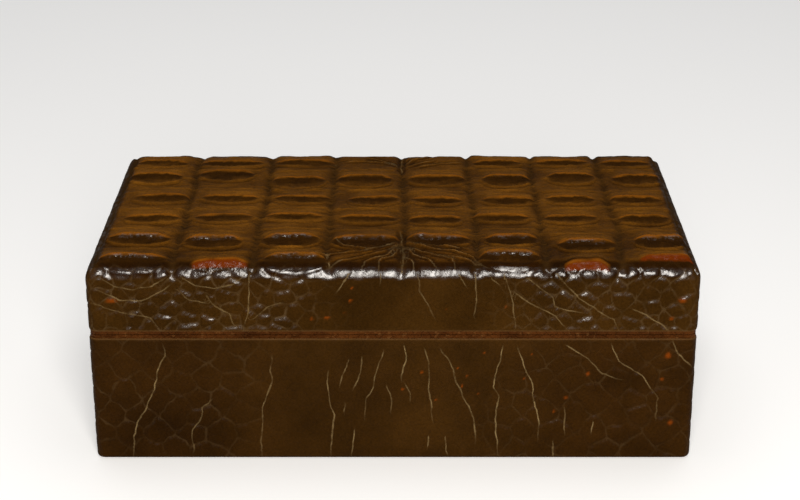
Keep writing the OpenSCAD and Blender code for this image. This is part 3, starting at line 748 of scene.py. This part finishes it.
    # The rim, the inner face along the wood and its flat ceiling
    select_edge_points(hide, points_of(hide)[:, 2] < LID_RIM + 8)
    inner_face = [at_level(1.38, 82.0), at_level(3.0, 86.0), at_level(7.0, 87.57)]
    extrude_rings(hide, [at_rim(HIDE_T - 0.05, lid_rim_height), *inner_face])
    bpy.ops.object.mode_set(mode="EDIT")
    bpy.ops.mesh.edge_face_add()
    close_hide()
    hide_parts("lid_leather")
    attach(hide, "lid")
    return hide


def close_hide():
    """Turns the closed hide's faces outward and smooths all but its sharp edges."""
    bpy.ops.mesh.select_all(action="SELECT")
    bpy.ops.mesh.normals_make_consistent(inside=False)
    bpy.ops.object.mode_set(mode="OBJECT")
    bpy.ops.object.shade_smooth_by_angle(angle=math.radians(60))


# The base's hide

def make_base_hide():
    across, deep, tall = 412, 170, 79
    hide = joined("base_hide", wall_panels("base_wall", across, deep, tall, BASE_FOOT, BASE_RIM))
    x, y, z = points_of(hide).T
    in_x, in_y = HALF_W - abs(x), HALF_D - abs(y)
    s = side_place(x, y, in_x, in_y)
    inset_x, inset_y = round_corner(in_x, in_y)
    places = np.stack([np.sign(x) * (HALF_W - inset_x), np.sign(y) * (HALF_D - inset_y), z], 1)
    lowered = BASE_RIM - base_rim_height(places[:, 1])
    places[:, 2] -= lowered * np.clip((z - 40) / (BASE_RIM - 40), 0, 1)
    move_points(hide, places)
    facing = normals_of(hide)

    signed = np.where(s > GIRTH / 2, s - GIRTH, s)
    on_front = np.abs(signed) <= HALF_W
    warp_s = s + 1.8 * waves(s, z, 15, 11) + 1.1 * waves(s, z, 5, 12) + 0.4 * waves(s, z, 2, 19)
    warp_v = z + 1.5 * waves(s, z, 13, 14) + 1.0 * waves(s, z, 5, 15) + 0.4 * waves(s, z, 2, 20)
    edge, lot, onto_seam, hand = scales(warp_s, warp_v, 14.0, 8.2, 22, 0.25)
    # Few scales at the middle and top of the front
    plump = 0.05 + 0.95 * ease(34, 66, np.abs(signed + 6 - 0.25 * (z - 28)))
    plump *= 1 - 0.3 * ease(30, 54, z) * (np.abs(signed) < HALF_W)
    front_cracks = drawn_creases(signed, z, BASE_CREASES, 0.3, 44, BASE_CATCH)
    other_cracks = drawn_creases(s, z, side_creases(), 0.3, 48, BASE_CATCH)
    cracks, swell, side, plainly = np.where(on_front, front_cracks[:4], other_cracks[:4])
    pull = np.where(on_front[:, None], front_cracks[4], other_cracks[4])
    inner = (z > BASE_FOOT + 1) & (z < BASE_RIM - 1)
    along = wall_direction(x, y, in_x, in_y)
    places[inner, :2] += along[inner] * pull[inner, :1]
    places[inner, 2] += pull[inner, 1]
    caught = (edge < BASE_CATCH) & inner & (cracks < 0.3)
    places[caught, :2] += along[caught] * onto_seam[caught, :1]
    places[caught, 2] += onto_seam[caught, 1]
    edge = np.where(caught, 0, edge)

    foot, rim = z - BASE_FOOT, base_rim_height(places[:, 1]) - places[:, 2]
    fade = ease(0, 1.6, foot) * ease(0, 2.0, rim)
    # The scales lie flatter towards the upright corners
    steady = 0.15 + 0.85 * ease(1, 9, in_x + in_y)
    pillow = ease(0, 1.9, edge) * (0.5 + 0.5 * lot)
    form = plump * steady * (0.42 * pillow - 0.35) - 0.15 * hill(edge, 0, 0.33) * plump
    form += 0.12 * swell - 0.35 * cracks + 0.10 * waves(s, z, 7, 45) + 0.06 * waves(s, z, 2.4, 46)
    form = form * fade - 0.5 * (1 - ease(0, 0.9, foot)) - 0.3 * (1 - ease(0, 0.8, rim))
    move_points(hide, places + facing * form[:, None])

    for name in ("high", "topside", "crest", "red", "hollow", "groove"):
        paint(hide, name, np.zeros(len(z)))
    # Darker away from the middle of the front
    paint(hide, "dark_edge", 0.1 + 0.42 * ease(25, 90, np.abs(signed)))
    paint(hide, "crack", plainly)
    paint(hide, "crack_side", beside(side))
    patchy = np.clip(0.6 + 0.7 * waves(s, z, 9, 17), 0.1, 1)
    paint(hide, "seam", 0.5 * (1 - ease(0.8, 1.4, edge)) * plump * patchy)
    paint(hide, "seam_side", beside(edge * hand))
    paint(hide, "spot", spots_field(signed, z, BASE_SPOTS) * on_front)
    paint(hide, "glaze", 0.01 + 0.28 * ease(0.16, 0.42, normals_of(hide)[:, 2]) * fade)
    # A lighter line along the rim: partly the pared edge's own colour, partly a painted highlight where the
    # edge catches light
    paint(hide, "pared_edge_and_highlight", 1 - ease(0.2, 0.8, rim))

    # Over the rim, down inside, under the floor and back to the foot
    shaped = points_of(hide)
    select_edge_points(hide, np.abs(base_rim_height(shaped[:, 1]) - shaped[:, 2]) < 0.8)
    under = HIDE_T - 0.02
    extrude_rings(hide, [at_rim(under, base_rim_height), at_level(under, TURN_TOP)])
    select_edge_points(hide, points_of(hide)[:, 2] < BASE_FOOT + 0.05)
    extrude_rings(hide, [at_level(TURN_IN, BASE_FOOT), at_level(TURN_IN, TURN_TOP)])
    # The turned-in edge and the inner face's foot are both open loops at one level
    select_edge_points(hide, np.abs(points_of(hide)[:, 2] - TURN_TOP) < 1e-3)
    bpy.ops.object.mode_set(mode="EDIT")
    bpy.ops.mesh.bridge_edge_loops()
    bpy.ops.mesh.select_all(action="SELECT")
    bpy.ops.mesh.remove_doubles(threshold=0.005 * MM)
    close_hide()
    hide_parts("base_leather")
    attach(hide, "base")
    return hide


def wall_direction(x, y, depth_x, depth_y):
    """Which way the walls run on, as side_place counts them."""
    front_or_back = (depth_y <= depth_x)[:, None]
    sideways = np.stack([np.where(y < 0, 1.0, -1.0), np.zeros_like(x)], 1)
    lengthways = np.stack([np.zeros_like(x), np.where(x > 0, 1.0, -1.0)], 1)
    return np.where(front_or_back, sideways, lengthways)


def side_creases():
    """Creases over the ends and the back of the base, drawn by lot along the walls."""
    lines = []
    places = np.arange(HALF_W + 9, GIRTH - HALF_W - 6, 10.5)
    for index, start in enumerate(places):
        lot = [chance(np.array([index]), np.array([k]), 77)[0] for k in range(7)]
        if lot[0] < 0.3:
            continue
        s, z = start + 8 * (lot[1] - 0.5), 53 - 14 * lot[2]
        length = 14 + 36 * lot[3]
        lean = 0.5 * (lot[4] - 0.5)
        line = []
        for t in (0, 0.25, 0.5, 0.75, 1):
            sway = 1.6 * math.sin(6 * lot[5] + 5 * t)
            line.append((s + lean * length * t + sway, max(z - length * t, 0.5)))
        lines.append((0.35 + 0.45 * lot[6], line))
    return lines


# Soft pieces inside and underneath

def soft_slab(name, low, high, cells, crown):
    """A closed slab of mesh from low to high, its faces shaped afterwards by crown."""
    bpy.ops.mesh.primitive_cube_add(size=1, location=[(a + b) / 2 * MM for a, b in zip(low, high)])
    piece = bpy.context.object
    piece.name = name
    piece.scale = [(b - a) * MM for a, b in zip(low, high)]
    bpy.ops.object.transform_apply(location=True, rotation=True, scale=True)
    bpy.ops.object.mode_set(mode="EDIT")
    for axis in range(3):
        for cut in range(1, cells[axis]):
            at = [0, 0, 0]
            at[axis] = (low[axis] + (high[axis] - low[axis]) * cut / cells[axis]) * MM
            across = [0, 0, 0]
            across[axis] = 1
            bpy.ops.mesh.select_all(action="SELECT")
            bpy.ops.mesh.bisect(plane_co=at, plane_no=across)
    bpy.ops.object.mode_set(mode="OBJECT")
    move_points(piece, crown(points_of(piece)))
    bpy.ops.object.shade_smooth_by_angle(angle=math.radians(50))
    return piece


def from_edge(x, y, high):
    """How far each point of a slab lies in from the slab's nearest edge."""
    return np.minimum(high[0] - np.abs(x), high[1] - np.abs(y))


def swell_as_cloth(pad, held, most):
    """Lets a pad's cloth swell over its filling, by most at its crown, with the held points kept in place."""
    before = points_of(pad)
    group = pad.vertex_groups.new(name="held")
    group.add(np.flatnonzero(held).tolist(), 1.0, "REPLACE")
    pick_only(pad)
    bpy.ops.object.modifier_add(type="CLOTH")
    cloth = pad.modifiers[-1].settings
    cloth.vertex_group_mass = "held"
    cloth.quality = 6
    cloth.mass = 0.2
    cloth.tension_stiffness = 12
    cloth.compression_stiffness = 12
    cloth.shear_stiffness = 5
    cloth.bending_stiffness = 0.2
    # The cover is cut a little larger than the pad
    cloth.shrink_min = -0.04
    cloth.use_pressure = True
    cloth.uniform_pressure_force = 4
    cloth.effector_weights.gravity = 0
    for frame_number in range(1, 21):
        bpy.context.scene.frame_set(frame_number)
    bpy.ops.object.modifier_apply(modifier=pad.modifiers[-1].name)
    bpy.context.scene.frame_set(1)
    swelling = points_of(pad) - before
    swelling *= min(1, most / np.linalg.norm(swelling, axis=1).max())
    move_points(pad, before + swelling)
    bpy.ops.object.modifier_add(type="SUBSURF")
    pad.modifiers[-1].levels = pad.modifiers[-1].render_levels = 1
    bpy.ops.object.modifier_apply(modifier=pad.modifiers[-1].name)


def make_lid_pad():
    low, high = (-115.2, -58.2, 80.2), (115.2, 58.2, 81.6)

    def crown(places):
        x, y, z = places.T
        hang = np.clip((high[2] - z) / (high[2] - low[2]), 0, 1)
        edge = from_edge(x, y, high)
        swell = ease(0, 9, edge) ** 0.5
        belly = (1 - (x / high[0]) ** 2) * (1 - (y / high[1]) ** 2)
        slack = 0.18 * waves(x, y, 26, 201) * ease(0, 12, edge)
        places = places.copy()
        places[:, 2] = high[2] - hang * (1.4 + swell * (0.5 + 0.4 * belly) + slack)
        return places

    pad = soft_slab("lid_padding", low, high, (110, 56, 2), crown)
    swell_as_cloth(pad, points_of(pad)[:, 2] > 81.0, 1.7)
    least = (low[0] - 0.1, low[1] - 0.1, 77.7)
    most = (high[0] + 0.1, high[1] + 0.1, high[2])
    move_points(pad, np.clip(points_of(pad), least, most))
    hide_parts("lid_pad")
    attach(pad, "lid")
    return pad


def make_floor_pad():
    low, high = (-115.6, -58.6, 5.2), (115.6, 58.6, 6.7)

    def crown(places):
        x, y, z = places.T
        raised = (z - low[2]) / (high[2] - low[2])
        edge = from_edge(x, y, high)
        places = places.copy()
        dimple = 0.12 * (waves(x, y, 18, 210) - 1) * ease(1, 8, edge)
        places[:, 2] += raised * (dimple - 0.45 * (1 - ease(0, 2.2, edge)))
        return places

    pad = soft_slab("floor_padding", low, high, (110, 56, 2), crown)
    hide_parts("floor_pad")
    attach(pad, "base")
    return pad


def make_baize():
    low, high = (-114.6, -57.6, 0.0), (114.6, 57.6, 1.2)

    def crown(places):
        x, y, z = places.T
        edge = from_edge(x, y, high)
        places = places.copy()
        lifted = 0.12 + 0.1 * waves(x, y, 7, 220) + 0.3 * (1 - ease(0, 1.5, edge))
        places[:, 2] += lifted * (z < 0.6)
        places[:, 0] += 0.15 * waves(y, x, 3, 221) * (high[0] - np.abs(x) < 0.01)
        places[:, 1] += 0.15 * waves(x, y, 3, 222) * (high[1] - np.abs(y) < 0.01)
        return places

    cloth = soft_slab("underside_cloth", low, high, (110, 56, 1), crown)
    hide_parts("underside_baize")
    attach(cloth, "base")
    return cloth


# Materials

def node(tree, kind, inputs=None, **settings):
    made = tree.nodes.new(kind)
    for name, value in settings.items():
        setattr(made, name, value)
    for socket, value in (inputs or {}).items():
        feed(tree, made.inputs[socket], value)
    return made


def feed(tree, socket, value):
    if isinstance(value, bpy.types.NodeSocket):
        tree.links.new(value, socket)
    else:
        socket.default_value = value


def mixed(tree, share, first, second):
    """Two colours mixed by a share."""
    made = node(tree, "ShaderNodeMix", data_type="RGBA")
    feed(tree, made.inputs[0], share)
    feed(tree, made.inputs[6], first)
    feed(tree, made.inputs[7], second)
    return made.outputs[2]


def sums(tree, operation, first, second=0.5, third=0.5):
    made = node(tree, "ShaderNodeMath", operation=operation)
    feed(tree, made.inputs[0], first)
    feed(tree, made.inputs[1], second)
    feed(tree, made.inputs[2], third)
    return made.outputs[0]


def ranged(tree, value, low, high, to_low=0.0, to_high=1.0):
    made = node(tree, "ShaderNodeMapRange", {0: value, 1: low, 2: high, 3: to_low, 4: to_high})
    return made.outputs[0]


def cloudy(tree, where, scale, detail=3.0, roughness=0.55):
    made = node(tree, "ShaderNodeTexNoise", {"Vector": where, "Scale": scale, "Detail": detail})
    made.inputs["Roughness"].default_value = roughness
    return made.outputs[0]


def stretched(tree, where, scale):
    """The place scaled by its own amount along each axis."""
    return node(tree, "ShaderNodeMapping", {"Vector": where, "Scale": scale}).outputs[0]


def cell_edges(tree, where, scale):
    """How far each place lies from the nearest edge between cells."""
    cells = node(tree, "ShaderNodeTexVoronoi", {"Vector": where, "Scale": scale}, feature="DISTANCE_TO_EDGE")
    return cells.outputs[0]


def threads(tree, where, scale, direction):
    """The ups and downs of threads laid side by side along one direction."""
    made = node(tree, "ShaderNodeTexWave", {"Vector": where, "Scale": scale, "Distortion": 0.6})
    made.bands_direction = direction
    return made.outputs[1]


def new_group(name, inputs, outputs):
    tree = bpy.data.node_groups.new(name, "ShaderNodeTree")
    for socket, value in inputs.items():
        kind = "NodeSocketVector" if socket == "Place" else "NodeSocketFloat"
        made = tree.interface.new_socket(socket, in_out="INPUT", socket_type=kind)
        if value is not None:
            made.default_value = value
    for socket in outputs:
        tree.interface.new_socket(socket, in_out="OUTPUT", socket_type="NodeSocketFloat")
    return tree, tree.nodes.new("NodeGroupInput"), tree.nodes.new("NodeGroupOutput")


def skin_grain_group():
    """The fine grain of leather: small pebbles with hairline wrinkles between them, and a patchy shade."""
    inputs = {"Place": None, "Size": 1.0, "Wrinkle": 0.5}
    tree, given, out = new_group("skin_grain", inputs, ["Height", "Shade"])
    place = node(tree, "ShaderNodeVectorMath", {0: given.outputs["Place"]}, operation="SCALE")
    feed(tree, place.inputs["Scale"], given.outputs["Size"])
    spot = place.outputs[0]
    warp = node(tree, "ShaderNodeTexNoise", {"Vector": spot, "Scale": 260.0, "Detail": 2.0})
    swayed = {0: warp.outputs[1], 1: (0.0022, 0.0022, 0.0022), 2: spot}
    pushed = node(tree, "ShaderNodeVectorMath", swayed, operation="MULTIPLY_ADD")
    pebble = ranged(tree, cell_edges(tree, pushed.outputs[0], 900.0), 0.0, 0.25)
    wrinkle = ranged(tree, cell_edges(tree, pushed.outputs[0], 210.0), 0.0, 0.05)
    deep = sums(tree, "MULTIPLY", wrinkle, given.outputs["Wrinkle"])
    height = sums(tree, "MULTIPLY_ADD", pebble, 0.45, deep)
    fine = cloudy(tree, spot, 1700.0, 2.0)
    feed(tree, out.inputs["Height"], sums(tree, "MULTIPLY_ADD", fine, 0.3, height))
    feed(tree, out.inputs["Shade"], cloudy(tree, spot, 42.0, 4.0, 0.6))
    return tree


def material(name):
    made = bpy.data.materials.new(name)
    made.use_nodes = True
    tree = made.node_tree
    shader = tree.nodes["Principled BSDF"]
    place = node(tree, "ShaderNodeTexCoord").outputs["Object"]
    return made, tree, shader, place


def painted(tree, name):
    return node(tree, "ShaderNodeAttribute", attribute_name=name, attribute_type="GEOMETRY").outputs["Fac"]


def use_group(tree, group, **inputs):
    made = node(tree, "ShaderNodeGroup")
    made.node_tree = group
    for socket, value in inputs.items():
        feed(tree, made.inputs[socket], value)
    return made


def bumped(tree, shader, height, distance, strength=1.0, socket="Normal"):
    made = node(tree, "ShaderNodeBump", {"Height": height, "Distance": distance, "Strength": strength})
    feed(tree, shader.inputs[socket], made.outputs[0])


def hide_wrinkles_group():
    """Fine drawn wrinkles that run across the box, long from left to right and close together."""
    tree, given, out = new_group("hide_wrinkles", {"Place": None}, ["Height"])
    drawn = cloudy(tree, stretched(tree, given.outputs["Place"], (105.0, 230.0, 230.0)), 1.0, 4.0, 0.6)
    pinched = cloudy(tree, stretched(tree, given.outputs["Place"], (190.0, 430.0, 430.0)), 1.0, 3.0)
    feed(tree, out.inputs["Height"], sums(tree, "MULTIPLY_ADD", pinched, 0.45, drawn))
    return tree


def thin_line(tree, name, thin, wide):
    """The line that a piece keeps as name and name_side: full within thin millimetres, gone at wide."""
    offset = sums(tree, "SUBTRACT", painted(tree, name + "_side"), 0.5)
    away = sums(tree, "MULTIPLY", sums(tree, "ABSOLUTE", offset), 4.0)
    return sums(tree, "MULTIPLY", ranged(tree, away, thin, wide, 1.0, 0.0), painted(tree, name))


def hide_material(skin_grain, hide_wrinkles):
    made, tree, shader, place = material("hornback_hide")
    grain = use_group(tree, skin_grain, Place=place, Size=1.0, Wrinkle=0.7)
    drawn = use_group(tree, hide_wrinkles, Place=place).outputs["Height"]
    groove, hollow, crest = (painted(tree, name) for name in ("groove", "hollow", "crest"))
    topside, glaze = painted(tree, "topside"), painted(tree, "glaze")

    # Golden brown on the top and dark brown on the walls; over the top a painted light and shade by height,
    # lighter where the hide and its fine wrinkles are raised, partly wear on the high spots
    streaks = ranged(tree, drawn, 0.50, 0.95, -0.10, 0.10)
    raised = sums(tree, "ADD", ranged(tree, painted(tree, "high"), 0.10, 0.75), streaks)
    golden = mixed(tree, raised, (0.038, 0.0133, 0.0012, 1), (0.147, 0.055, 0.0046, 1))
    # The top painted lighter than the walls: partly the hide's own golden colour, partly painted light from
    # above
    colour = mixed(tree, topside, (0.031, 0.0130, 0.0021, 1), golden)
    # A dark band along the lid's round top edge, partly darker polished dye and partly a painted reflection
    # of dark surroundings; on the base, darker away from the middle of the front
    colour = mixed(tree, painted(tree, "dark_edge"), colour, (0.016, 0.0055, 0.0009, 1))
    patch = ranged(tree, grain.outputs["Shade"], 0.3, 0.7, 0.72, 1.3)
    wide = ranged(tree, cloudy(tree, place, 14.0, 3.0), 0.3, 0.7, 0.8, 1.2)
    specks = ranged(tree, cloudy(tree, place, 1000.0, 2.0), 0.3, 0.7, 0.82, 1.18)
    shade = sums(tree, "MULTIPLY", sums(tree, "MULTIPLY", patch, wide), specks)
    lit = node(tree, "ShaderNodeVectorMath", {0: colour}, operation="SCALE")
    feed(tree, lit.inputs["Scale"], shade)

    # Over it lie the grooves, the keels, the worn places, the joints of the scales and the cracks
    broken = ranged(tree, cloudy(tree, place, 240.0, 3.0, 0.6), 0.36, 0.60, 0.25, 1.0)
    seam = sums(tree, "MULTIPLY", thin_line(tree, "seam", 0.08, 0.62), broken)
    crack = thin_line(tree, "crack", 0.10, 0.38)
    colour = lit.outputs[0]
    for share, much, over in (
        (groove, 0.4, (0.054, 0.026, 0.0066, 1)),
        # Painted shade in the hollows before the crests and beside the fan folds, and darker dye on the
        # keels' fronts
        (hollow, 0.95, (0.018, 0.0068, 0.0011, 1)),
        (crest, 0.85, (0.21, 0.064, 0.0040, 1)),
        (painted(tree, "red"), 1.0, (0.115, 0.018, 0.0010, 1)),
        (painted(tree, "spot"), 1.0, (0.165, 0.033, 0.002, 1)),
        # A lighter line along the rims: partly the pared edge's own colour, partly a painted highlight where
        # the edge catches light
        (painted(tree, "pared_edge_and_highlight"), 1.0, (0.095, 0.045, 0.014, 1)),
        (seam, 0.75, (0.080, 0.048, 0.020, 1)),
        (crack, broken, (0.24, 0.165, 0.072, 1)),
    ):
        colour = mixed(tree, sums(tree, "MULTIPLY", share, much), colour, over)
    feed(tree, shader.inputs["Base Color"], colour)
    rough = ranged(tree, grain.outputs["Shade"], 0.3, 0.7, 0.42, 0.56)
    rough = sums(tree, "MULTIPLY_ADD", groove, 0.2, rough)
    feed(tree, shader.inputs["Roughness"], sums(tree, "MULTIPLY_ADD", crack, 0.3, rough))
    shader.inputs["Specular IOR Level"].default_value = 0.02
    shader.inputs["Specular Tint"].default_value = (1.0, 0.4, 0.08, 1)

    # The polish is broken up, and gone where the hide is cracked
    breaks = ranged(tree, cloudy(tree, place, 330.0, 3.0), 0.38, 0.56, 0.35, 1.0)
    sparks = ranged(tree, cloudy(tree, place, 640.0, 2.0), 0.46, 0.58, 0.04, 1.0)
    breaks = node(tree, "ShaderNodeMix", {0: hollow, 2: breaks, 3: sparks}).outputs[0]
    uncracked = ranged(tree, crack, 0.0, 0.6, 1.0, 0.0)
    coat = sums(tree, "MULTIPLY", sums(tree, "MULTIPLY", glaze, breaks), uncracked)
    feed(tree, shader.inputs["Coat Weight"], coat)
    shader.inputs["Coat Roughness"].default_value = 0.235
    shader.inputs["Coat IOR"].default_value = 1.8

    # Wrinkles show on the top and most of all in the grooves, ribs in the polish on the keels' fronts
    strength = sums(tree, "MULTIPLY_ADD", groove, 0.8, sums(tree, "MULTIPLY_ADD", topside, 0.75, 0.1))
    creased = sums(tree, "MULTIPLY", drawn, strength)
    relief = sums(tree, "MULTIPLY_ADD", creased, 8.0, grain.outputs["Height"])
    bumped(tree, shader, relief, 0.00017, 0.9)
    ribbed = sums(tree, "MULTIPLY", hollow, cloudy(tree, place, 520.0, 2.0))
    polished = sums(tree, "MULTIPLY_ADD", ribbed, 24.0, grain.outputs["Height"])
    bumped(tree, shader, polished, 0.00004, 0.7, "Coat Normal")
    return made


def edging_material(skin_grain):
    made, tree, shader, place = material("edging_leather")
    grain = use_group(tree, skin_grain, Place=place, Size=1.4, Wrinkle=0.9)
    patch = ranged(tree, grain.outputs["Shade"], 0.3, 0.7)
    colour = mixed(tree, patch, (0.032, 0.0085, 0.0014, 1), (0.080, 0.024, 0.0045, 1))
    rub = ranged(tree, cloudy(tree, place, 420.0, 4.0, 0.65), 0.56, 0.70)
    colour = mixed(tree, sums(tree, "MULTIPLY", rub, 0.5), colour, (0.16, 0.070, 0.020, 1))
    feed(tree, shader.inputs["Base Color"], colour)
    feed(tree, shader.inputs["Roughness"], ranged(tree, patch, 0.0, 1.0, 0.45, 0.7))
    shader.inputs["Specular IOR Level"].default_value = 0.08
    shader.inputs["Specular Tint"].default_value = (1.0, 0.5, 0.2, 1)
    bumped(tree, shader, grain.outputs["Height"], 0.0003)
    return made


def lining_material(skin_grain):
    made, tree, shader, place = material("lining_skiver")
    grain = use_group(tree, skin_grain, Place=place, Size=0.8, Wrinkle=0.35)
    patch = ranged(tree, grain.outputs["Shade"], 0.3, 0.7)
    colour = mixed(tree, patch, (0.085, 0.017, 0.007, 1), (0.14, 0.032, 0.014, 1))
    foxed = ranged(tree, cloudy(tree, place, 60.0, 5.0, 0.7), 0.6, 0.75)
    colour = mixed(tree, sums(tree, "MULTIPLY", foxed, 0.4), colour, (0.045, 0.014, 0.007, 1))
    feed(tree, shader.inputs["Base Color"], colour)
    feed(tree, shader.inputs["Roughness"], ranged(tree, grain.outputs["Shade"], 0.3, 0.7, 0.42, 0.6))
    bumped(tree, shader, grain.outputs["Height"], 0.00012)
    return made


def wood_material():
    made, tree, shader, place = material("case_mahogany")
    rings = node(tree, "ShaderNodeTexWave", {
        "Vector": stretched(tree, place, (3.0, 22.0, 22.0)),
        "Scale": 4.0, "Distortion": 5.0, "Detail": 3.0, "Detail Scale": 1.6})
    fine = cloudy(tree, stretched(tree, place, (60.0, 1100.0, 1100.0)), 1.0, 4.0, 0.6)
    colour = mixed(tree, rings.outputs[1], (0.22, 0.085, 0.030, 1), (0.36, 0.16, 0.062, 1))
    dark = ranged(tree, fine, 0.35, 0.5, 1.0, 0.0)
    colour = mixed(tree, sums(tree, "MULTIPLY", dark, 0.5), colour, (0.10, 0.035, 0.012, 1))
    feed(tree, shader.inputs["Base Color"], colour)
    feed(tree, shader.inputs["Roughness"], ranged(tree, fine, 0.3, 0.7, 0.62, 0.5))
    bumped(tree, shader, fine, 0.0001)
    return made


def silk_material():
    made, tree, shader, place = material("pad_silk")
    across, down = threads(tree, place, 330.0, "X"), threads(tree, place, 420.0, "Y")
    weave = sums(tree, "MULTIPLY_ADD", across, 0.5, sums(tree, "MULTIPLY", down, 0.5))
    stain = ranged(tree, cloudy(tree, place, 22.0, 4.0, 0.6), 0.35, 0.7)
    colour = mixed(tree, stain, (0.36, 0.16, 0.052, 1), (0.26, 0.105, 0.034, 1))
    colour = mixed(tree, sums(tree, "MULTIPLY", weave, 0.35), colour, (0.46, 0.24, 0.095, 1))
    feed(tree, shader.inputs["Base Color"], colour)
    feed(tree, shader.inputs["Roughness"], ranged(tree, weave, 0.0, 1.0, 0.55, 0.38))
    shader.inputs["Sheen Weight"].default_value = 0.35
    shader.inputs["Sheen Roughness"].default_value = 0.4
    bumped(tree, shader, weave, 0.00005)
    return made


def baize_material():
    made, tree, shader, place = material("green_baize")
    fuzz = cloudy(tree, place, 1400.0, 3.0, 0.7)
    nap = cloudy(tree, place, 120.0, 4.0, 0.6)
    colour = mixed(tree, ranged(tree, nap, 0.35, 0.65), (0.020, 0.038, 0.012, 1), (0.036, 0.060, 0.020, 1))
    colour = mixed(tree, ranged(tree, fuzz, 0.5, 0.8, 0.0, 0.5), colour, (0.075, 0.105, 0.05, 1))
    feed(tree, shader.inputs["Base Color"], colour)
    shader.inputs["Roughness"].default_value = 0.95
    shader.inputs["Sheen Weight"].default_value = 0.3
    bumped(tree, shader, sums(tree, "MULTIPLY_ADD", nap, 0.6, fuzz), 0.0004)
    return made


def brass_material():
    made, tree, shader, place = material("old_brass")
    tarnish = ranged(tree, cloudy(tree, place, 180.0, 5.0, 0.65), 0.42, 0.7)
    lines = cloudy(tree, stretched(tree, place, (120.0, 2600.0, 2600.0)), 1.0, 3.0)
    colour = mixed(tree, tarnish, (0.62, 0.40, 0.13, 1), (0.20, 0.115, 0.04, 1))
    feed(tree, shader.inputs["Base Color"], colour)
    shader.inputs["Metallic"].default_value = 1.0
    feed(tree, shader.inputs["Roughness"], ranged(tree, tarnish, 0.0, 1.0, 0.26, 0.5))
    bumped(tree, shader, lines, 0.00003)
    return made


def dress(piece, finish):
    piece.data.materials.clear()
    piece.data.materials.append(finish)


def dress_node(name, finish):
    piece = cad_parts[name]
    if not piece.material_slots:
        piece.data.materials.append(finish)
    for held in piece.material_slots:
        held.material = finish


# The room: camera, floor and light

def area_light(name, at, towards, size, power, colour=(1, 1, 1)):
    lamp = bpy.data.lights.new(name, "AREA")
    lamp.shape = "RECTANGLE"
    lamp.size, lamp.size_y = size
    lamp.energy = power
    lamp.color = colour
    held = bpy.data.objects.new(name, lamp)
    bpy.context.scene.collection.objects.link(held)
    held.location = at
    held.rotation_euler = (Vector(towards) - Vector(at)).to_track_quat("-Z", "Y").to_euler()
    return held


def make_room():
    bpy.ops.mesh.primitive_plane_add(size=8, location=(0, 0, 0))
    floor = bpy.context.object
    floor.name = "pale_floor"
    made, tree, shader, _ = material("pale_floor")
    seen = node(tree, "ShaderNodeLightPath")
    direct = sums(tree, "MAXIMUM", seen.outputs["Is Camera Ray"], seen.outputs["Is Glossy Ray"])
    direct = sums(tree, "MAXIMUM", direct, seen.outputs["Is Transmission Ray"])
    feed(tree, shader.inputs["Base Color"], mixed(tree, direct, (0.80, 0.80, 0.79, 1), (0.98, 0.98, 0.98, 1)))
    shader.inputs["Emission Color"].default_value = (1, 1, 1, 1)
    feed(tree, shader.inputs["Emission Strength"], sums(tree, "MULTIPLY", direct, 0.2))
    shader.inputs["Roughness"].default_value = 0.9
    shader.inputs["Specular IOR Level"].default_value = 0.1
    dress(floor, made)

    world = bpy.data.worlds.new("plain_grey")
    world.use_nodes = True
    world.node_tree.nodes["Background"].inputs[0].default_value = (0.2, 0.2, 0.2, 1)
    bpy.context.scene.world = world

    middle = (0, 0, 0.06)
    area_light("key", (0.06, -1.12, 0.67), middle, (0.50, 0.74), 16.5, (1.0, 0.955, 0.89))
    area_light("overhead", (0.0, 0.60, 1.7), middle, (1.8, 1.4), 8)

    lens = bpy.data.cameras.new("camera")
    lens.lens = 82.9
    lens.sensor_width = 36
    lens.clip_start = 0.01
    camera = bpy.data.objects.new("camera", lens)
    bpy.context.scene.collection.objects.link(camera)
    camera.location = (0.0029, -0.765, 0.382)
    camera.rotation_euler = (math.radians(90 - 22.34), 0, 0)
    bpy.context.scene.camera = camera
    bpy.context.scene.view_settings.view_transform = "Standard"


make_room()

skin_grain = skin_grain_group()
hide_finish = hide_material(skin_grain, hide_wrinkles_group())
edging_finish = edging_material(skin_grain)
lining_finish = lining_material(skin_grain)
wood_finish = wood_material()
silk_finish = silk_material()
baize_finish = baize_material()
brass_finish = brass_material()

dress(make_lid_hide(), hide_finish)
dress(make_base_hide(), hide_finish)
dress(make_lid_pad(), silk_finish)
dress(make_floor_pad(), silk_finish)
dress(make_baize(), baize_finish)

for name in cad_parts:
    if "board" in name:
        dress_node(name, wood_finish)
    elif "edging" in name:
        dress_node(name, edging_finish)
    elif "lining" in name or "divider" in name:
        dress_node(name, lining_finish)
    elif "hinge" in name or "screws" in name:
        dress_node(name, brass_finish)
